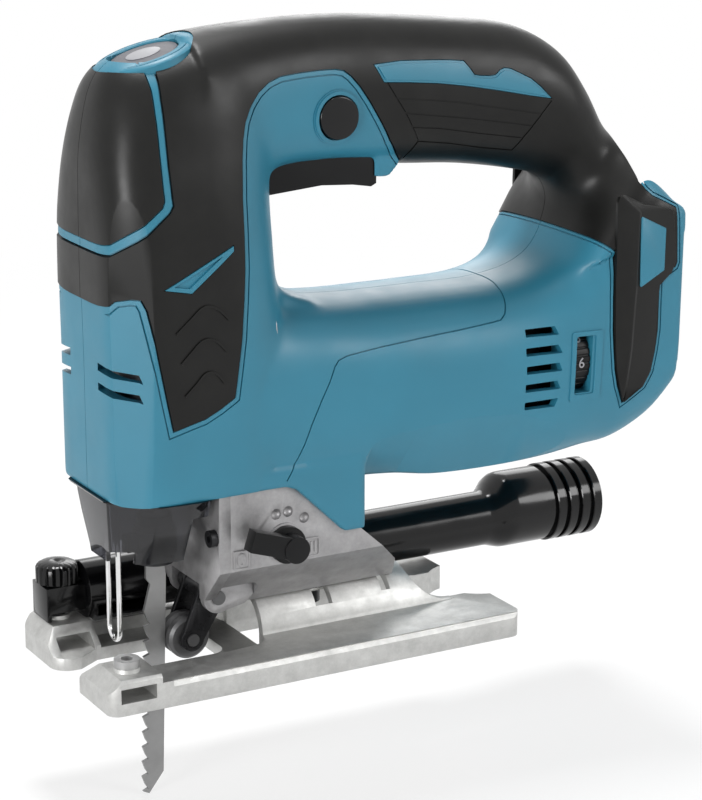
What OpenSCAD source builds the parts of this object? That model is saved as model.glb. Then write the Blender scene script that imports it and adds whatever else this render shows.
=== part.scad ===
// Cordless D-handle jigsaw, body only, with a blade and a dust nozzle fitted.
// Origin: centre of the sole's underside. +Z up, the blade end faces -X, the battery end +X.

/* [Sole] */
// Length of the base plate
base_len = 158; // [150:1:170]
// Width of the base plate
base_w = 77; // [76:1:84]
// Height of the plate's top face beside the tunnel
base_top = 9; // [8:0.25:9]
// Thickness of the low floor beside the blade slot
floor_t = 4.3; // [3.5:0.1:5]
// Height of the two front end blocks
block_top = 12; // [11.5:0.25:13]
// Length of the front end blocks
block_len = 18.5; // [17:0.5:20]
// Half width of the blade slot
slot_hw = 12; // [10.5:0.25:12.5]
// Half width of the slot's mouth at the front edge
mouth_hw = 6.8; // [5:0.2:8]
// Outer radius of the tilt tunnel
tunnel_r = 15.6; // [15:0.1:16]
// Wall of the tilt tunnel
tunnel_wall = 3; // [2.5:0.1:3.5]
// Height of the tilt axis above the sole
tilt_z = 8; // [7.5:0.1:8.5]
// Bevel along the plate's upper side edges
edge_bevel = 2; // [1:0.25:2.5]
// Width of the rip-fence bar window
fence_w = 12.7; // [11:0.1:13]
// Height of the rip-fence bar window
fence_h = 5; // [4:0.1:5.2]
// Thread radius of the rip-fence screws
fence_screw_r = 2.5; // [2:0.1:3]
// Thread radius of the base clamp bolt
clamp_bolt_r = 3; // [2.5:0.1:3.4]

/* [Blade drive] */
// Distance from the origin forward to the blade and plunger axis
blade_dist = 45; // [44:0.25:46]
// Radius of the plunger rod
rod_r = 4.5; // [4:0.1:5]
// Stroke of the blade
stroke = 26; // [20:1:26]
// Teeth on the drive gear
gear_teeth = 46; // [42:2:46]
// Teeth on the motor pinion
pinion_teeth = 10; // [10:1:12]
// Tooth module of the gear pair
gear_mod = 1; // [0.9:0.05:1]
// Width of the drive gear's rim
gear_w = 5.5; // [4.5:0.5:6]
// Height of the motor axis above the sole
motor_z = 86; // [85:0.5:88]
// Outer radius of the stator
stator_r = 25; // [23:0.5:25.5]
// Length of the stator core
stator_len = 38; // [32:1:40]
// Radius of the rotor core
rotor_r = 12; // [10:0.5:13]
// Radius of the cooling fan
fan_r = 23.5; // [20:0.5:24.5]
// Length of the blade below the clamp's lower face
blade_len = 84.6; // [75:0.2:100]
// Width of the blade
blade_w = 8; // [6:0.5:9]
// Thickness of the blade
blade_t = 1.3; // [0.9:0.1:1.7]
// Tooth pitch of the blade
tooth_pitch = 5.5; // [3:0.25:6]
// Forward lean of the blade in degrees
blade_lean = 1.8; // [0:0.1:2]
// Radius of the blade's back-up roller
roller_r = 7.6; // [7:0.1:8]

/* [Gear case] */
// Half width of the cast gear case
case_hw = 27; // [26:0.25:27.5]
// Wall of the cast gear case
case_wall = 2.6; // [2.2:0.1:3.2]
// Distance from the origin forward to the joint between case and cover
seam_dist = 29.5; // [29:0.25:30]
// Thickness of the cover's flange
flange_t = 4.2; // [3.5:0.1:4.5]
// Diameter of the wire finger guard
wire_d = 1.8; // [1.4:0.1:2]
// Spacing of the finger guard's two legs
wire_gap = 8.5; // [7:0.25:10]

/* [Body] */
// Half width of the nose
nose_hw = 31.5; // [31:0.25:33]
// Half width of the grip
grip_hw = 18; // [17:0.5:20]
// Half width of the motor barrel
barrel_hw = 33; // [32:0.5:34]
// Half width of the battery shoe
shoe_hw = 37; // [36.5:0.25:38]
// Wall of the moulded housing
wall = 2.6; // [2.2:0.1:3]
// Thickness of the rubber overmould
skin = 1.6; // [1.2:0.1:2]
// Radius of the power button
power_r = 11.6; // [10:0.2:12]
// Travel of the power button
power_travel = 1; // [0.6:0.1:1.5]
// Radius of the lock-off button
lock_r = 7.2; // [6:0.1:7.6]
// Radius of the speed dial
dial_r = 13; // [12:0.25:13.5]
// Width of the speed dial
dial_w = 7; // [6:0.25:7.5]

/* [Dust nozzle] */
// Radius of the nozzle's tube
tube_r = 10.3; // [9.5:0.1:10.6]
// Radius of the hose spigot's ribs
spigot_r = 13.9; // [13:0.1:14.2]
// Inner radius of the hose spigot
spigot_bore_r = 10.5; // [9.5:0.1:11]
// Distance of the nozzle's axis from the middle plane
tube_y = 28; // [27.5:0.1:28.5]
// Radius of the nozzle's thumb screw
knob_r = 7.4; // [6.5:0.1:8]

/* [Fits] */
// Radial clearance of running fits
run_gap = 0.05; // [0.02:0.01:0.1]
// Clearance between loose parts
gap = 0.3; // [0.2:0.05:0.4]

/* [Hidden] */
$fn = 48;

blade_x = -blade_dist;
seam_x = -seam_dist;
front_x = -base_len / 2;
gear_z = motor_z + gear_mod * (gear_teeth + pinion_teeth) / 2;
crank_r = stroke / 2;

// ---------- helpers ----------
// A 2D shape in (y, z) drawn out from x0 to x1
module yz_prism(x0, x1) {
    translate([x0, 0, 0]) rotate([90, 0, 90]) linear_extrude(x1 - x0) children();
}
// A 2D shape in (x, z) drawn out from y0 to y1
module xz_prism(y0, y1) {
    translate([0, y1, 0]) rotate([90, 0, 0]) linear_extrude(y1 - y0) children();
}
// A round bar along X, Y or Z
module bar_x(x0, x1, r) {
    translate([x0, 0, 0]) rotate([0, 90, 0]) cylinder(h = x1 - x0, r = r);
}
module bar_y(y0, y1, r) {
    translate([0, y0, 0]) rotate([-90, 0, 0]) cylinder(h = y1 - y0, r = r);
}
module bar_z(z0, z1, r) {
    translate([0, 0, z0]) cylinder(h = z1 - z0, r = r);
}
module block(x0, x1, y0, y1, z0, z1) {
    translate([x0, y0, z0]) cube([x1 - x0, y1 - y0, z1 - z0]);
}
module both_sides() {
    children();
    mirror([0, 1, 0]) children();
}
// A cap screw along +Z with its head on top of z = 0
module cap_screw(r, len, head_r, head_h) {
    difference() {
        union() {
            bar_z(-len, 0.01, r);
            bar_z(0, head_h, head_r);
        }
        translate([0, 0, head_h * 0.4]) cylinder(h = head_h, r = r * 0.9, $fn = 6);
    }
}

// ---------- sole ----------
fence_x = front_x + 10;
fence_z0 = floor_t - 0.1;
block_end_x = front_x + block_len;
tunnel_x0 = -12;
notch_x = base_len / 2 + 5;
notch_r = 18;
tail_x = 64.5;
tail_r = 18;
clamp_x = 13;
index_x = 38;
slot_end_x = -24;
fence_y = base_w / 2 - 9.5;

// Plan of the whole plate, with the blade slot open to the front
module base_plan() {
    corner = 4;
    half = base_w / 2;
    difference() {
        union() {
            translate([front_x, -half + corner]) square([base_len, base_w - 2 * corner]);
            translate([front_x + corner, -half]) square([base_len - 2 * corner, base_w]);
            for (x = [front_x + corner, -front_x - corner], y = [-half + corner, half - corner])
                translate([x, y]) circle(corner);
        }
        polygon([
            [front_x - 1, -mouth_hw], [front_x + 9, -mouth_hw], [front_x + 17, -slot_hw],
            [slot_end_x - 5, -slot_hw], [slot_end_x - 5, slot_hw],
            [front_x + 17, slot_hw], [front_x + 9, mouth_hw], [front_x - 1, mouth_hw]
        ]);
        // rounded end of the slot and rounded corners of its mouth
        for (s = [-1, 1]) {
            translate([slot_end_x - 5, s * (slot_hw - 5)]) circle(5);
            difference() {
                translate([front_x - 1, s > 0 ? 0 : -mouth_hw - 7]) square([8, mouth_hw + 7]);
                translate([front_x + 7, s * (mouth_hw + 7)]) circle(7);
            }
        }
        translate([slot_end_x - 6, -slot_hw + 5]) square([6, 2 * slot_hw - 10]);
        translate([notch_x, 0]) circle(notch_r);
    }
}
// Where the plate keeps its full thickness
module raised_plan() {
    half = base_w / 2;
    edge = tunnel_r - 0.2;
    for (s = [-1, 1])
        polygon([
            [front_x - 1, s * half], [front_x - 1, s * 2 * slot_hw],
            [-32, s * 1.97 * slot_hw], [-20, s * 1.88 * slot_hw], [-15.6, s * 1.8 * slot_hw],
            [-13, s * 1.58 * slot_hw], [tunnel_x0, s * edge],
            [-front_x + 1, s * edge], [-front_x + 1, s * half]
        ]);
}
module tunnel_section(r) {
    intersection() {
        translate([0, tilt_z]) circle(r);
        translate([-r, tilt_z]) square([2 * r, r]);
    }
    translate([-r, 0]) square([2 * r, tilt_z]);
}
// An angular sector of the tunnel wall, for slots that run round it
module tunnel_sector(half_angle) {
    far = 3 * tunnel_r;
    translate([0, tilt_z])
        polygon([[0, 0], [-far * sin(half_angle), far * cos(half_angle)], [0, far * 1.5],
                 [far * sin(half_angle), far * cos(half_angle)]]);
}
module end_block(s) {
    half = base_w / 2;
    yz_prism(front_x, block_end_x)
        polygon([
            [s * half, 0], [s * half, block_top], [s * (half - 19), block_top],
            [s * (slot_hw - 1), floor_t], [s * mouth_hw, floor_t], [s * mouth_hw, 0]
        ]);
}
module base_plate() {
    inner = tunnel_r - tunnel_wall;
    half = base_w / 2;
    color("silver") difference() {
        union() {
            linear_extrude(floor_t) base_plan();
            linear_extrude(base_top) intersection() {
                base_plan();
                raised_plan();
            }
            intersection() {
                union() {
                    end_block(-1);
                    end_block(1);
                }
                linear_extrude(block_top) base_plan();
            }
            yz_prism(tunnel_x0, -front_x) tunnel_section(tunnel_r);
            // bosses of the rip-fence screws
            for (y = [-fence_y, fence_y])
                translate([fence_x, y, 0]) bar_z(floor_t + fence_h, boss_top, fence_screw_r + 2.1);
        }
        // hollow under the tunnel
        yz_prism(tunnel_x0, -front_x + 1) translate([0, tilt_z]) circle(inner);
        block(tunnel_x0, -front_x + 1, -inner, inner, -1, tilt_z);
        // swept-down rear edge of the tunnel
        translate([tail_x, 0, base_top + tail_r + 0.2]) bar_y(-tunnel_r - 1, tunnel_r + 1, tail_r);
        block(tail_x, -front_x + 1, -tunnel_r - 1, tunnel_r + 1, base_top, 3 * tunnel_r);
        // round notch in the rear edge
        translate([notch_x, 0, -1]) cylinder(h = 3 * tunnel_r, r = notch_r);
        // sloped front faces of the end blocks
        translate([front_x, -half - 1, block_top - 4.6]) rotate([0, -48, 0])
            cube([12, base_w + 2, 12]);
        // bevels along the upper side edges
        for (s = [-1, 1]) {
            translate([front_x - 1, s * half, base_top - edge_bevel]) rotate([s * -45, 0, 0])
                translate([block_len + 5, -edge_bevel, 0]) cube([base_len, 2 * edge_bevel, 4]);
            translate([front_x - 1, s * half, block_top - edge_bevel / 2]) rotate([s * -45, 0, 0])
                translate([0, -edge_bevel, 0]) cube([block_len + 2, 2 * edge_bevel, 4]);
        }
        // window for the rip-fence bar, right across both blocks
        block(fence_x - fence_w / 2, fence_x + fence_w / 2, -half - 1, half + 1, fence_z0, fence_z0 + fence_h);
        // threads of the rip-fence screws
        for (y = [-fence_y, fence_y])
            translate([fence_x, y, 0]) bar_z(fence_z0, block_top + 2, fence_screw_r + run_gap);
        // slot of the clamp bolt round the tunnel, and the index slot
        intersection() {
            block(clamp_x - clamp_bolt_r - gap, clamp_x + clamp_bolt_r + gap, -40, 40, -1, 40);
            yz_prism(clamp_x - 10, clamp_x + 10) tunnel_sector(62);
        }
        intersection() {
            block(index_x - 1.8, index_x + 1.8, -40, 40, -1, 40);
            yz_prism(index_x - 10, index_x + 10) tunnel_sector(58);
        }
    }
}
clamp_bolt_head_h = 5;
plate_r = tunnel_r - tunnel_wall - run_gap;
module base_clamp_plate() {
    color("dimgray") difference() {
        yz_prism(clamp_x - 11, clamp_x + 11) intersection() {
            difference() {
                translate([0, tilt_z]) circle(plate_r);
                translate([-plate_r, tilt_z - plate_r]) square([2 * plate_r, 2 * plate_r - 2.6]);
            }
            translate([-6.2, tilt_z]) square([12.4, 2 * plate_r]);
        }
        translate([clamp_x, 0, 0]) bar_z(0, 60, clamp_bolt_r + run_gap);
    }
}
module base_clamp_bolt() {
    seat = tilt_z + plate_r - 2.6;
    color("gray") translate([clamp_x, 0, seat]) rotate([180, 0, 0])
        cap_screw(clamp_bolt_r, 12, 5, clamp_bolt_head_h);
}
module fence_screw() {
    color("lightgray") translate([fence_x, -fence_y, boss_top])
        cap_screw(fence_screw_r, boss_top - fence_z0 - fence_h, fence_screw_r + 1.8, 2.6);
}

// ---------- dust nozzle ----------
tube_z = 20.8;
spigot_z = 23.2;
tube_x0 = -52;
tube_x1 = 118;
spigot_x1 = 156;
nozzle_screw_x = fence_x;
nozzle_screw_y = fence_y;
boss_top = block_top + 1.4;
mouth_y = 23;
mouth_top = 34;
mouth_lip = 19.5;
module at_tube() {
    translate([0, tube_y, tube_z]) children();
}
module dust_nozzle() {
    shell = 1.8;
    bore = tube_r - shell;
    post_top = 27;
    color([0.08, 0.08, 0.09]) difference() {
        union() {
            at_tube() bar_x(tube_x0, tube_x1, tube_r);
            // foot that the thumb screw holds down
            block(nozzle_screw_x - 5.5, nozzle_screw_x + 5.5, nozzle_screw_y - 6, nozzle_screw_y + 7.5,
                  boss_top + gap, post_top);
            block(nozzle_screw_x + 5, nozzle_screw_x + 9, mouth_y, tube_y + tube_r, boss_top + gap, post_top - 1);
            // suction mouth beside the blade, with a low lip towards it
            block(nozzle_screw_x + 8.4, tube_x0 + 14, mouth_y, tube_y + tube_r, block_top + gap, mouth_top);
            block(nozzle_screw_x + 8.4, tube_x0 + 14, mouth_y - 6, mouth_y + 1, block_top + gap, mouth_lip);
            // hood over the rear bend
            translate([tube_x1 - 12, tube_y, tube_z + 1]) bar_x(0, 22, tube_r + 2.6);
            // hose spigot with its ribs
            translate([0, tube_y, spigot_z]) {
                bar_x(tube_x1, spigot_x1, spigot_r - 1.1);
                for (i = [0:4])
                    bar_x(tube_x1 + 10 + 5.6 * i, tube_x1 + 13.6 + 5.6 * i, spigot_r);
                bar_x(spigot_x1 - 3, spigot_x1, spigot_r);
            }
        }
        at_tube() bar_x(tube_x0 + 3, tube_x1 + 1, bore);
        translate([0, tube_y, spigot_z]) bar_x(tube_x1 - 1, spigot_x1 + 1, spigot_bore_r);
        // mouth open towards the blade
        block(nozzle_screw_x + 10, tube_x0 + 11, mouth_y - 7, tube_y + tube_r - shell,
              block_top + gap + 1.6, mouth_lip - 1.6);
        block(nozzle_screw_x + 10, tube_x0 + 11, mouth_y + 1.6, tube_y + tube_r - shell,
              block_top + gap + 1.6, mouth_top - shell);
        translate([nozzle_screw_x, nozzle_screw_y, 0]) bar_z(0, 60, fence_screw_r + gap);
    }
}
module nozzle_screw() {
    seat = 27 + gap;
    color([0.1, 0.1, 0.1]) translate([nozzle_screw_x, nozzle_screw_y, 0]) {
        bar_z(fence_z0 + fence_h + 0.4, seat + 1, fence_screw_r);
        difference() {
            bar_z(seat, seat + 8.5, knob_r);
            for (a = [0:30:330])
                rotate(a) translate([knob_r + 0.5, 0, 0]) bar_z(seat - 1, seat + 6.4, 1.3);
        }
    }
}

// ---------- gear case ----------
seat_r = tunnel_r + 2 * run_gap;
foot_z = 20.9;
foot_hw = 10.6;
foot_bevel_z = 38.2;
foot_x1 = 42;
chamber_r = gear_mod * gear_teeth / 2 + 1.7 + case_wall;
chamber_x1 = -11.5;
lever_x = -9.6;
lever_z = 45.6;
lever_shaft_r = 4;
bearing_x0 = -12.9;
bearing_r = 9.5;
shaft_r = 4;
guide_r = 8;
lower_guide_z0 = 71;
lower_guide_z1 = 83;
upper_guide_z0 = gear_z + crank_r + 9;
upper_guide_z1 = upper_guide_z0 + 11;
cover_x0 = blade_x - 12;
retainer_pin_x = -28;
retainer_pin_z = 24.9;
retainer_pin_r = 2.4;
lug_hw = 14;

// Cross-section of the foot and the chamber, in (y, z)
module case_section(grow) {
    g = grow;
    polygon([
        [-foot_hw - g, foot_z - g], [foot_hw + g, foot_z - g], [case_hw + g, foot_bevel_z - 0.4 * g],
        [case_hw + g, 74], [-case_hw - g, 74], [-case_hw - g, foot_bevel_z - 0.4 * g]
    ]);
}
module chamber_section(grow) {
    translate([0, gear_z]) circle(chamber_r + grow);
    translate([-chamber_r - grow, 73]) square([2 * (chamber_r + grow), gear_z - 73]);
}
// Ears of the two upper screws, in (y, z)
module ear_section() {
    for (i = [2, 3])
        translate(case_screw_places[i]) circle(4.4);
}
// Side outline of the foot behind the seam, in (x, z)
module foot_outline() {
    polygon([
        [seam_x, foot_z], [foot_x1, foot_z], [foot_x1 - 3.6, 29.6], [19, 47],
        [19, 55], [1, 60], [-9.5, 66], [chamber_x1, 74], [seam_x, 74]
    ]);
}
module gear_case() {
    inner_wall = 2.4;
    color("silver") difference() {
        union() {
            intersection() {
                yz_prism(seam_x, foot_x1) case_section(0);
                xz_prism(-case_hw, case_hw) foot_outline();
            }
            yz_prism(seam_x, chamber_x1) chamber_section(0);
            yz_prism(seam_x, seam_x + 10) ear_section();
            // boss of the front bearing
            translate([0, 0, motor_z]) bar_x(chamber_x1 - 1, bearing_x0 + 8, bearing_r + 3);
            // raised rim round the orbit lever's shaft
            translate([lever_x, 0, lever_z]) bar_y(-case_hw - 0.8, -case_hw + 1, lever_shaft_r + 3);
        }
        // concave seat on the tilt tunnel
        translate([0, 0, tilt_z]) bar_x(seam_x - 1, foot_x1 + 1, seat_r);
        // gear chamber
        yz_prism(seam_x - 1, chamber_x1 - inner_wall) {
            translate([0, gear_z]) circle(chamber_r - case_wall);
            translate([-chamber_r + case_wall, 60]) square([2 * (chamber_r - case_wall), gear_z - 60]);
        }
        // room for the orbit cam in the foot
        block(seam_x - 1, chamber_x1 + 8.5, -case_hw + case_wall, case_hw - case_wall, 38.8, 58);
        block(seam_x - 1, chamber_x1 + 8.5, -10, 10, 29, 58);
        // bores
        translate([0, 0, motor_z]) {
            bar_x(bearing_x0, 10, bearing_r);
            bar_x(seam_x, 10, shaft_r + 3.4);
        }
        translate([0, 0, gear_z]) bar_x(seam_x, chamber_x1 + 1, shaft_r);
        translate([lever_x, 0, lever_z]) bar_y(-case_hw - 2, -case_hw + 6, lever_shaft_r + run_gap);
        // pocket for the retainer's hub, open downwards
        block(seam_x - 1, retainer_pin_x + 5.4, -lug_hw + 2.7, lug_hw - 2.7, foot_z - 1, 30);
        // room for the lugs of the retainer's pivot
        both_sides() xz_prism(lug_hw - 3 - gap, case_hw + 1) offset_lug();
        // thread of the base clamp bolt
        translate([clamp_x, 0, 0]) bar_z(foot_z - 6, foot_z + 10, clamp_bolt_r + run_gap);
        // screw holes in the seam
        for (p = case_screw_places)
            translate([0, p[0], p[1]]) bar_x(seam_x - 1, seam_x + 9, 1.5 + run_gap);
        // shallow marks along the orbit lever's arc
        for (a = [45, 82, 106])
            translate([lever_x + 10.8 * cos(a), -case_hw, lever_z + 10.8 * sin(a)]) sphere(1.9, $fn = 24);
    }
}
case_screw_places = [[-23.5, 50], [23.5, 50], [-16, gear_z + 25.6], [16, gear_z + 25.6]];
module case_cover() {
    guide_wall = 3;
    color("silver") difference() {
        union() {
            // flange on the seam, with the foot's bevelled outline
            intersection() {
                yz_prism(seam_x - flange_t, seam_x) {
                    case_section(0);
                    chamber_section(0);
                    ear_section();
                }
                block(seam_x - flange_t, seam_x, -60, 60, foot_z + 4, 200);
            }
            // body round the plunger
            block(cover_x0, seam_x, -case_hw + 3.5, case_hw - 3.5, lower_guide_z0 - 3, upper_guide_z0);
            translate([blade_x, 0, 0]) bar_z(upper_guide_z0 - 1, upper_guide_z1, guide_r + guide_wall);
            // lug that holds the finger guard
            block(guard_x - 4, cover_x0 + 1, -wire_gap / 2 - 4, wire_gap / 2 + 4, lower_guide_z0 - 3,
                  lower_guide_z0 + 8);
            // lugs of the retainer's pivot
            for (s = [-1, 1])
                xz_prism(s > 0 ? lug_hw - 3 : -lug_hw, s > 0 ? lug_hw : -lug_hw + 3) lug_outline();
        }
        // room for the retainer's hub between the lugs
        block(cover_x0, seam_x + 1, -lug_hw + 3, lug_hw - 3, foot_z - 2, 30);
        // room for the yoke
        block(cover_x0 + 3, seam_x + 1, -case_hw + 6, case_hw - 6, lower_guide_z1 + 1, upper_guide_z0 - 0.5);
        // guide seats
        translate([blade_x, 0, 0]) {
            bar_z(lower_guide_z0, lower_guide_z1 + 2, guide_r);
            bar_z(upper_guide_z0 - 1, upper_guide_z1 - 1, guide_r);
            bar_z(lower_guide_z0 - 4, upper_guide_z1 + 1, rod_r + 0.6);
        }
        // legs of the finger guard
        for (s = [-1, 1])
            translate([guard_x, s * wire_gap / 2, 0]) bar_z(lower_guide_z0 - 4, lower_guide_z0 + 5, wire_d / 2 + run_gap);
        // retainer pivot
        translate([retainer_pin_x, 0, retainer_pin_z]) bar_y(-lug_hw - 1, lug_hw + 1, retainer_pin_r);
        for (p = case_screw_places)
            translate([0, p[0], p[1]]) bar_x(seam_x - flange_t - 1, seam_x + 1, 1.5 + run_gap);
    }
}
module lug_shape(g) {
    translate([retainer_pin_x, retainer_pin_z]) circle(5.4 + g);
    polygon([[retainer_pin_x, retainer_pin_z - 5.4 - g], [-18, retainer_pin_z - 3.4 - g],
             [-15 + g, retainer_pin_z - 0.6], [-15 + g, retainer_pin_z + 3], [-17, retainer_pin_z + 5.4 + g],
             [retainer_pin_x, retainer_pin_z + 5.4 + g]]);
}
module offset_lug() {
    lug_shape(gap);
}
module lug_outline() {
    lug_shape(0);
    translate([seam_x - flange_t, retainer_pin_z]) square([flange_t, 14]);
}
module case_screws() {
    color("dimgray") for (p = case_screw_places)
        translate([seam_x - flange_t, p[0], p[1]]) rotate([0, -90, 0]) cap_screw(1.5, 11, 2.9, 2.4);
}
module rod_guides() {
    color("goldenrod") translate([blade_x, 0, 0]) for (z = [[lower_guide_z0, lower_guide_z1], [upper_guide_z0, upper_guide_z1 - 1]])
        difference() {
            bar_z(z[0], z[1], guide_r - 0.01);
            bar_z(z[0] - 1, z[1] + 1, rod_r + run_gap);
        }
}

// ---------- gears ----------
// Tooth flank: half the angle a tooth takes at radius r, for an involute of pressure angle 25
pressure = 25;
function inv_at(r, rb) = r <= rb ? 0 : tan(acos(rb / r)) * 180 / PI - acos(rb / r);
function half_tooth(r, rp, teeth, slack) =
    90 / teeth - slack / rp * 180 / PI + inv_at(rp, rp * cos(pressure)) - inv_at(r, rp * cos(pressure));
module gear_outline(teeth, mod, slack) {
    rp = mod * teeth / 2;
    ra = rp + 0.85 * mod;
    rf = rp - 1.15 * mod;
    radii = [rf, max(rf + 0.01, rp * cos(pressure)), rp - 0.3 * mod, rp + 0.3 * mod, ra];
    circle(rf + 0.01);
    for (i = [0:teeth - 1])
        rotate(i * 360 / teeth)
            polygon(concat(
                [[rf - 0.4, 0]],
                [for (r = radii) let (h = half_tooth(r, rp, teeth, slack)) [r * cos(h), -r * sin(h)]],
                [for (k = [len(radii) - 1:-1:0]) let (r = radii[k], h = half_tooth(r, rp, teeth, slack))
                    [r * cos(h), r * sin(h)]]
            ));
}
gear_x0 = seam_x + 4.5;
gear_x1 = gear_x0 + gear_w;
hub_x1 = chamber_x1 - 2.4 - gap;
module gear_shaft() {
    color("gray") translate([0, 0, gear_z]) bar_x(gear_x0 - 1, chamber_x1 - 0.2, shaft_r);
}
crank_y = crank_r;
module drive_gear() {
    color("slategray") difference() {
        union() {
            // a tooth space faces the pinion below
            translate([0, 0, gear_z]) rotate([-90 + 180 / gear_teeth, 0, 0])
                yz_prism(gear_x0, gear_x1) gear_outline(gear_teeth, gear_mod, 0.06);
            translate([0, 0, gear_z]) bar_x(gear_x0, hub_x1, shaft_r + 3.5);
            // counterbalance opposite the crank
            intersection() {
                translate([0, 0, gear_z]) bar_x(gear_x1 - 0.01, hub_x1 - 0.6, 19);
                block(gear_x0, hub_x1, -20, -7, gear_z - 20, gear_z + 20);
            }
            // crank pin
            translate([0, crank_y, gear_z]) bar_x(yoke_x1 + 0.6, gear_x0 + 1, 3.2);
        }
        translate([0, 0, gear_z]) bar_x(gear_x0 - 2, hub_x1 + 1, shaft_r + run_gap);
        // lightening recess
        for (a = [60, 120, 240, 300])
            translate([0, 14.5 * cos(a + 90), gear_z + 14.5 * sin(a + 90)]) bar_x(gear_x0 - 1, gear_x0 + gear_w - 2, 4);
    }
}
module crank_roller() {
    color("gainsboro") translate([0, crank_y, gear_z]) difference() {
        bar_x(yoke_x1 + 0.6, gear_x0 - 0.3, 5);
        bar_x(yoke_x1, gear_x0, 3.2 + run_gap);
    }
}
module pinion() {
    color("slategray") translate([0, 0, motor_z]) difference() {
        rotate([90, 0, 0]) yz_prism(gear_x0 - 0.5, gear_x1 + 1.9) gear_outline(pinion_teeth, gear_mod, 0.06);
        bar_x(gear_x0 - 2, gear_x1 + 3, 2.2);
    }
}

// ---------- plunger and blade ----------
yoke_x0 = blade_x + 5.5;
yoke_x1 = -33.2;
clamp_z0 = 37;
clamp_z1 = 54;
clamp_r = 7.4;
module plunger_rod() {
    color("gainsboro") translate([blade_x, 0, 0]) difference() {
        bar_z(clamp_z1 - 8, upper_guide_z1 + 2 * crank_r - 8, rod_r);
        translate([0, 0, clamp_z1 - 9]) bar_z(0, 5, 1.6);
    }
}
module yoke() {
    slot_h = 5 + 0.2;
    color("darkgray") difference() {
        union() {
            block(yoke_x0, yoke_x1, -20.5, 20.5, gear_z - 8, gear_z + 8);
            block(blade_x - 6.5, yoke_x0 + 1, -7, 7, gear_z - 7, gear_z + 7);
        }
        translate([0, 0, gear_z]) {
            block(yoke_x0 - 0.01, yoke_x1 + 1, -crank_r, crank_r, -slot_h, slot_h);
            for (y = [-crank_r, crank_r]) translate([0, y, 0]) bar_x(yoke_x0 - 0.01, yoke_x1 + 1, slot_h);
        }
        translate([blade_x, 0, 0]) bar_z(gear_z - 10, gear_z + 10, rod_r);
    }
}
module blade_clamp() {
    color("dimgray") translate([blade_x, 0, 0]) difference() {
        union() {
            bar_z(clamp_z0, clamp_z1 - 3, clamp_r - 0.8);
            bar_z(clamp_z0 + 4, clamp_z0 + 12, clamp_r);
            bar_z(clamp_z1 - 4, clamp_z1, rod_r + 1.4);
            // release tab
            block(-clamp_r - 3.5, 0, -2.2, 2.2, clamp_z0 + 5, clamp_z0 + 11);
        }
        bar_z(clamp_z1 - 8, clamp_z1 + 1, rod_r);
        block(-4.6, 4.6, -blade_t / 2 - 0.05, blade_t / 2 + 0.05, clamp_z0 - 1, clamp_z1 - 8);
    }
}
blade_top = clamp_z1 - 8.4;
blade_bottom = clamp_z0 - blade_len;
module blade_outline() {
    hw = blade_w / 2;
    depth = 2.2;
    teeth = floor((blade_len - 18) / tooth_pitch);
    polygon(concat(
        [[-hw + depth, clamp_z0 - 8], [-3.4, clamp_z0 - 6], [-3.4, clamp_z0 + 4], [-4.3, clamp_z0 + 4.6],
         [-4.3, clamp_z0 + 7.6], [-2.4, blade_top], [2.4, blade_top], [4.3, clamp_z0 + 7.6],
         [4.3, clamp_z0 + 4.6], [3.4, clamp_z0 + 4], [3.4, clamp_z0 - 2], [hw, clamp_z0 - 5],
         [hw, blade_bottom + 7.5], [-hw + 2.6, blade_bottom], [-hw + 0.4, blade_bottom + 1]],
        [for (i = [0:teeth - 1], p = [[-hw + depth, 0.9], [-hw + depth * 0.55, 2.4], [-hw, tooth_pitch]])
            [p[0], blade_bottom + 1 + i * tooth_pitch + p[1]]]
    ));
}
module blade() {
    color("gray") translate([blade_x, 0, clamp_z0 + 4]) rotate([0, blade_lean, 0])
        translate([0, 0, -clamp_z0 - 4]) xz_prism(-blade_t / 2, blade_t / 2) blade_outline();
}

// ---------- roller and retainer ----------
roller_x = blade_x + blade_w / 2 + roller_r - 1.1;
roller_z = roller_r + 1;
roller_pin_r = 2.2;
roller_hw = 4.8;
arm_in = roller_hw + 0.3;
arm_out = arm_in + 2;
arm_r = 4.2;
module roller() {
    groove = 1.1;
    bore = roller_pin_r + run_gap;
    half = roller_hw;
    color("darkgray") translate([roller_x, 0, roller_z]) rotate([-90, 0, 0]) rotate_extrude() polygon([
        [bore, -half], [roller_r - 1, -half], [roller_r, -half + 1], [roller_r, -blade_t / 2 - 0.8],
        [roller_r - groove, -blade_t / 2 - 0.15], [roller_r - groove, blade_t / 2 + 0.15],
        [roller_r, blade_t / 2 + 0.8], [roller_r, half - 1], [roller_r - 1, half], [bore, half]
    ]);
}
module roller_pin() {
    color("gainsboro") translate([roller_x, 0, roller_z]) {
        bar_y(-arm_out - 0.5, arm_out + 0.5, roller_pin_r);
    }
}
module retainer_arm() {
    color([0.12, 0.12, 0.13]) difference() {
        union() {
            for (s = [-1, 1])
                xz_prism(s > 0 ? arm_in : -arm_out, s > 0 ? arm_out : -arm_in) {
                    translate([roller_x, roller_z]) circle(arm_r);
                    translate([retainer_pin_x, retainer_pin_z]) circle(arm_r);
                    arm_web();
                }
            // hub round the pivot joins both arms
            translate([retainer_pin_x, 0, retainer_pin_z]) bar_y(-lug_hw + 3 + gap, lug_hw - 3 - gap, arm_r - 0.5);
        }
        translate([retainer_pin_x, 0, retainer_pin_z]) bar_y(-20, 20, retainer_pin_r + run_gap);
        translate([roller_x, 0, roller_z]) bar_y(-20, 20, roller_pin_r);
    }
}
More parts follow.
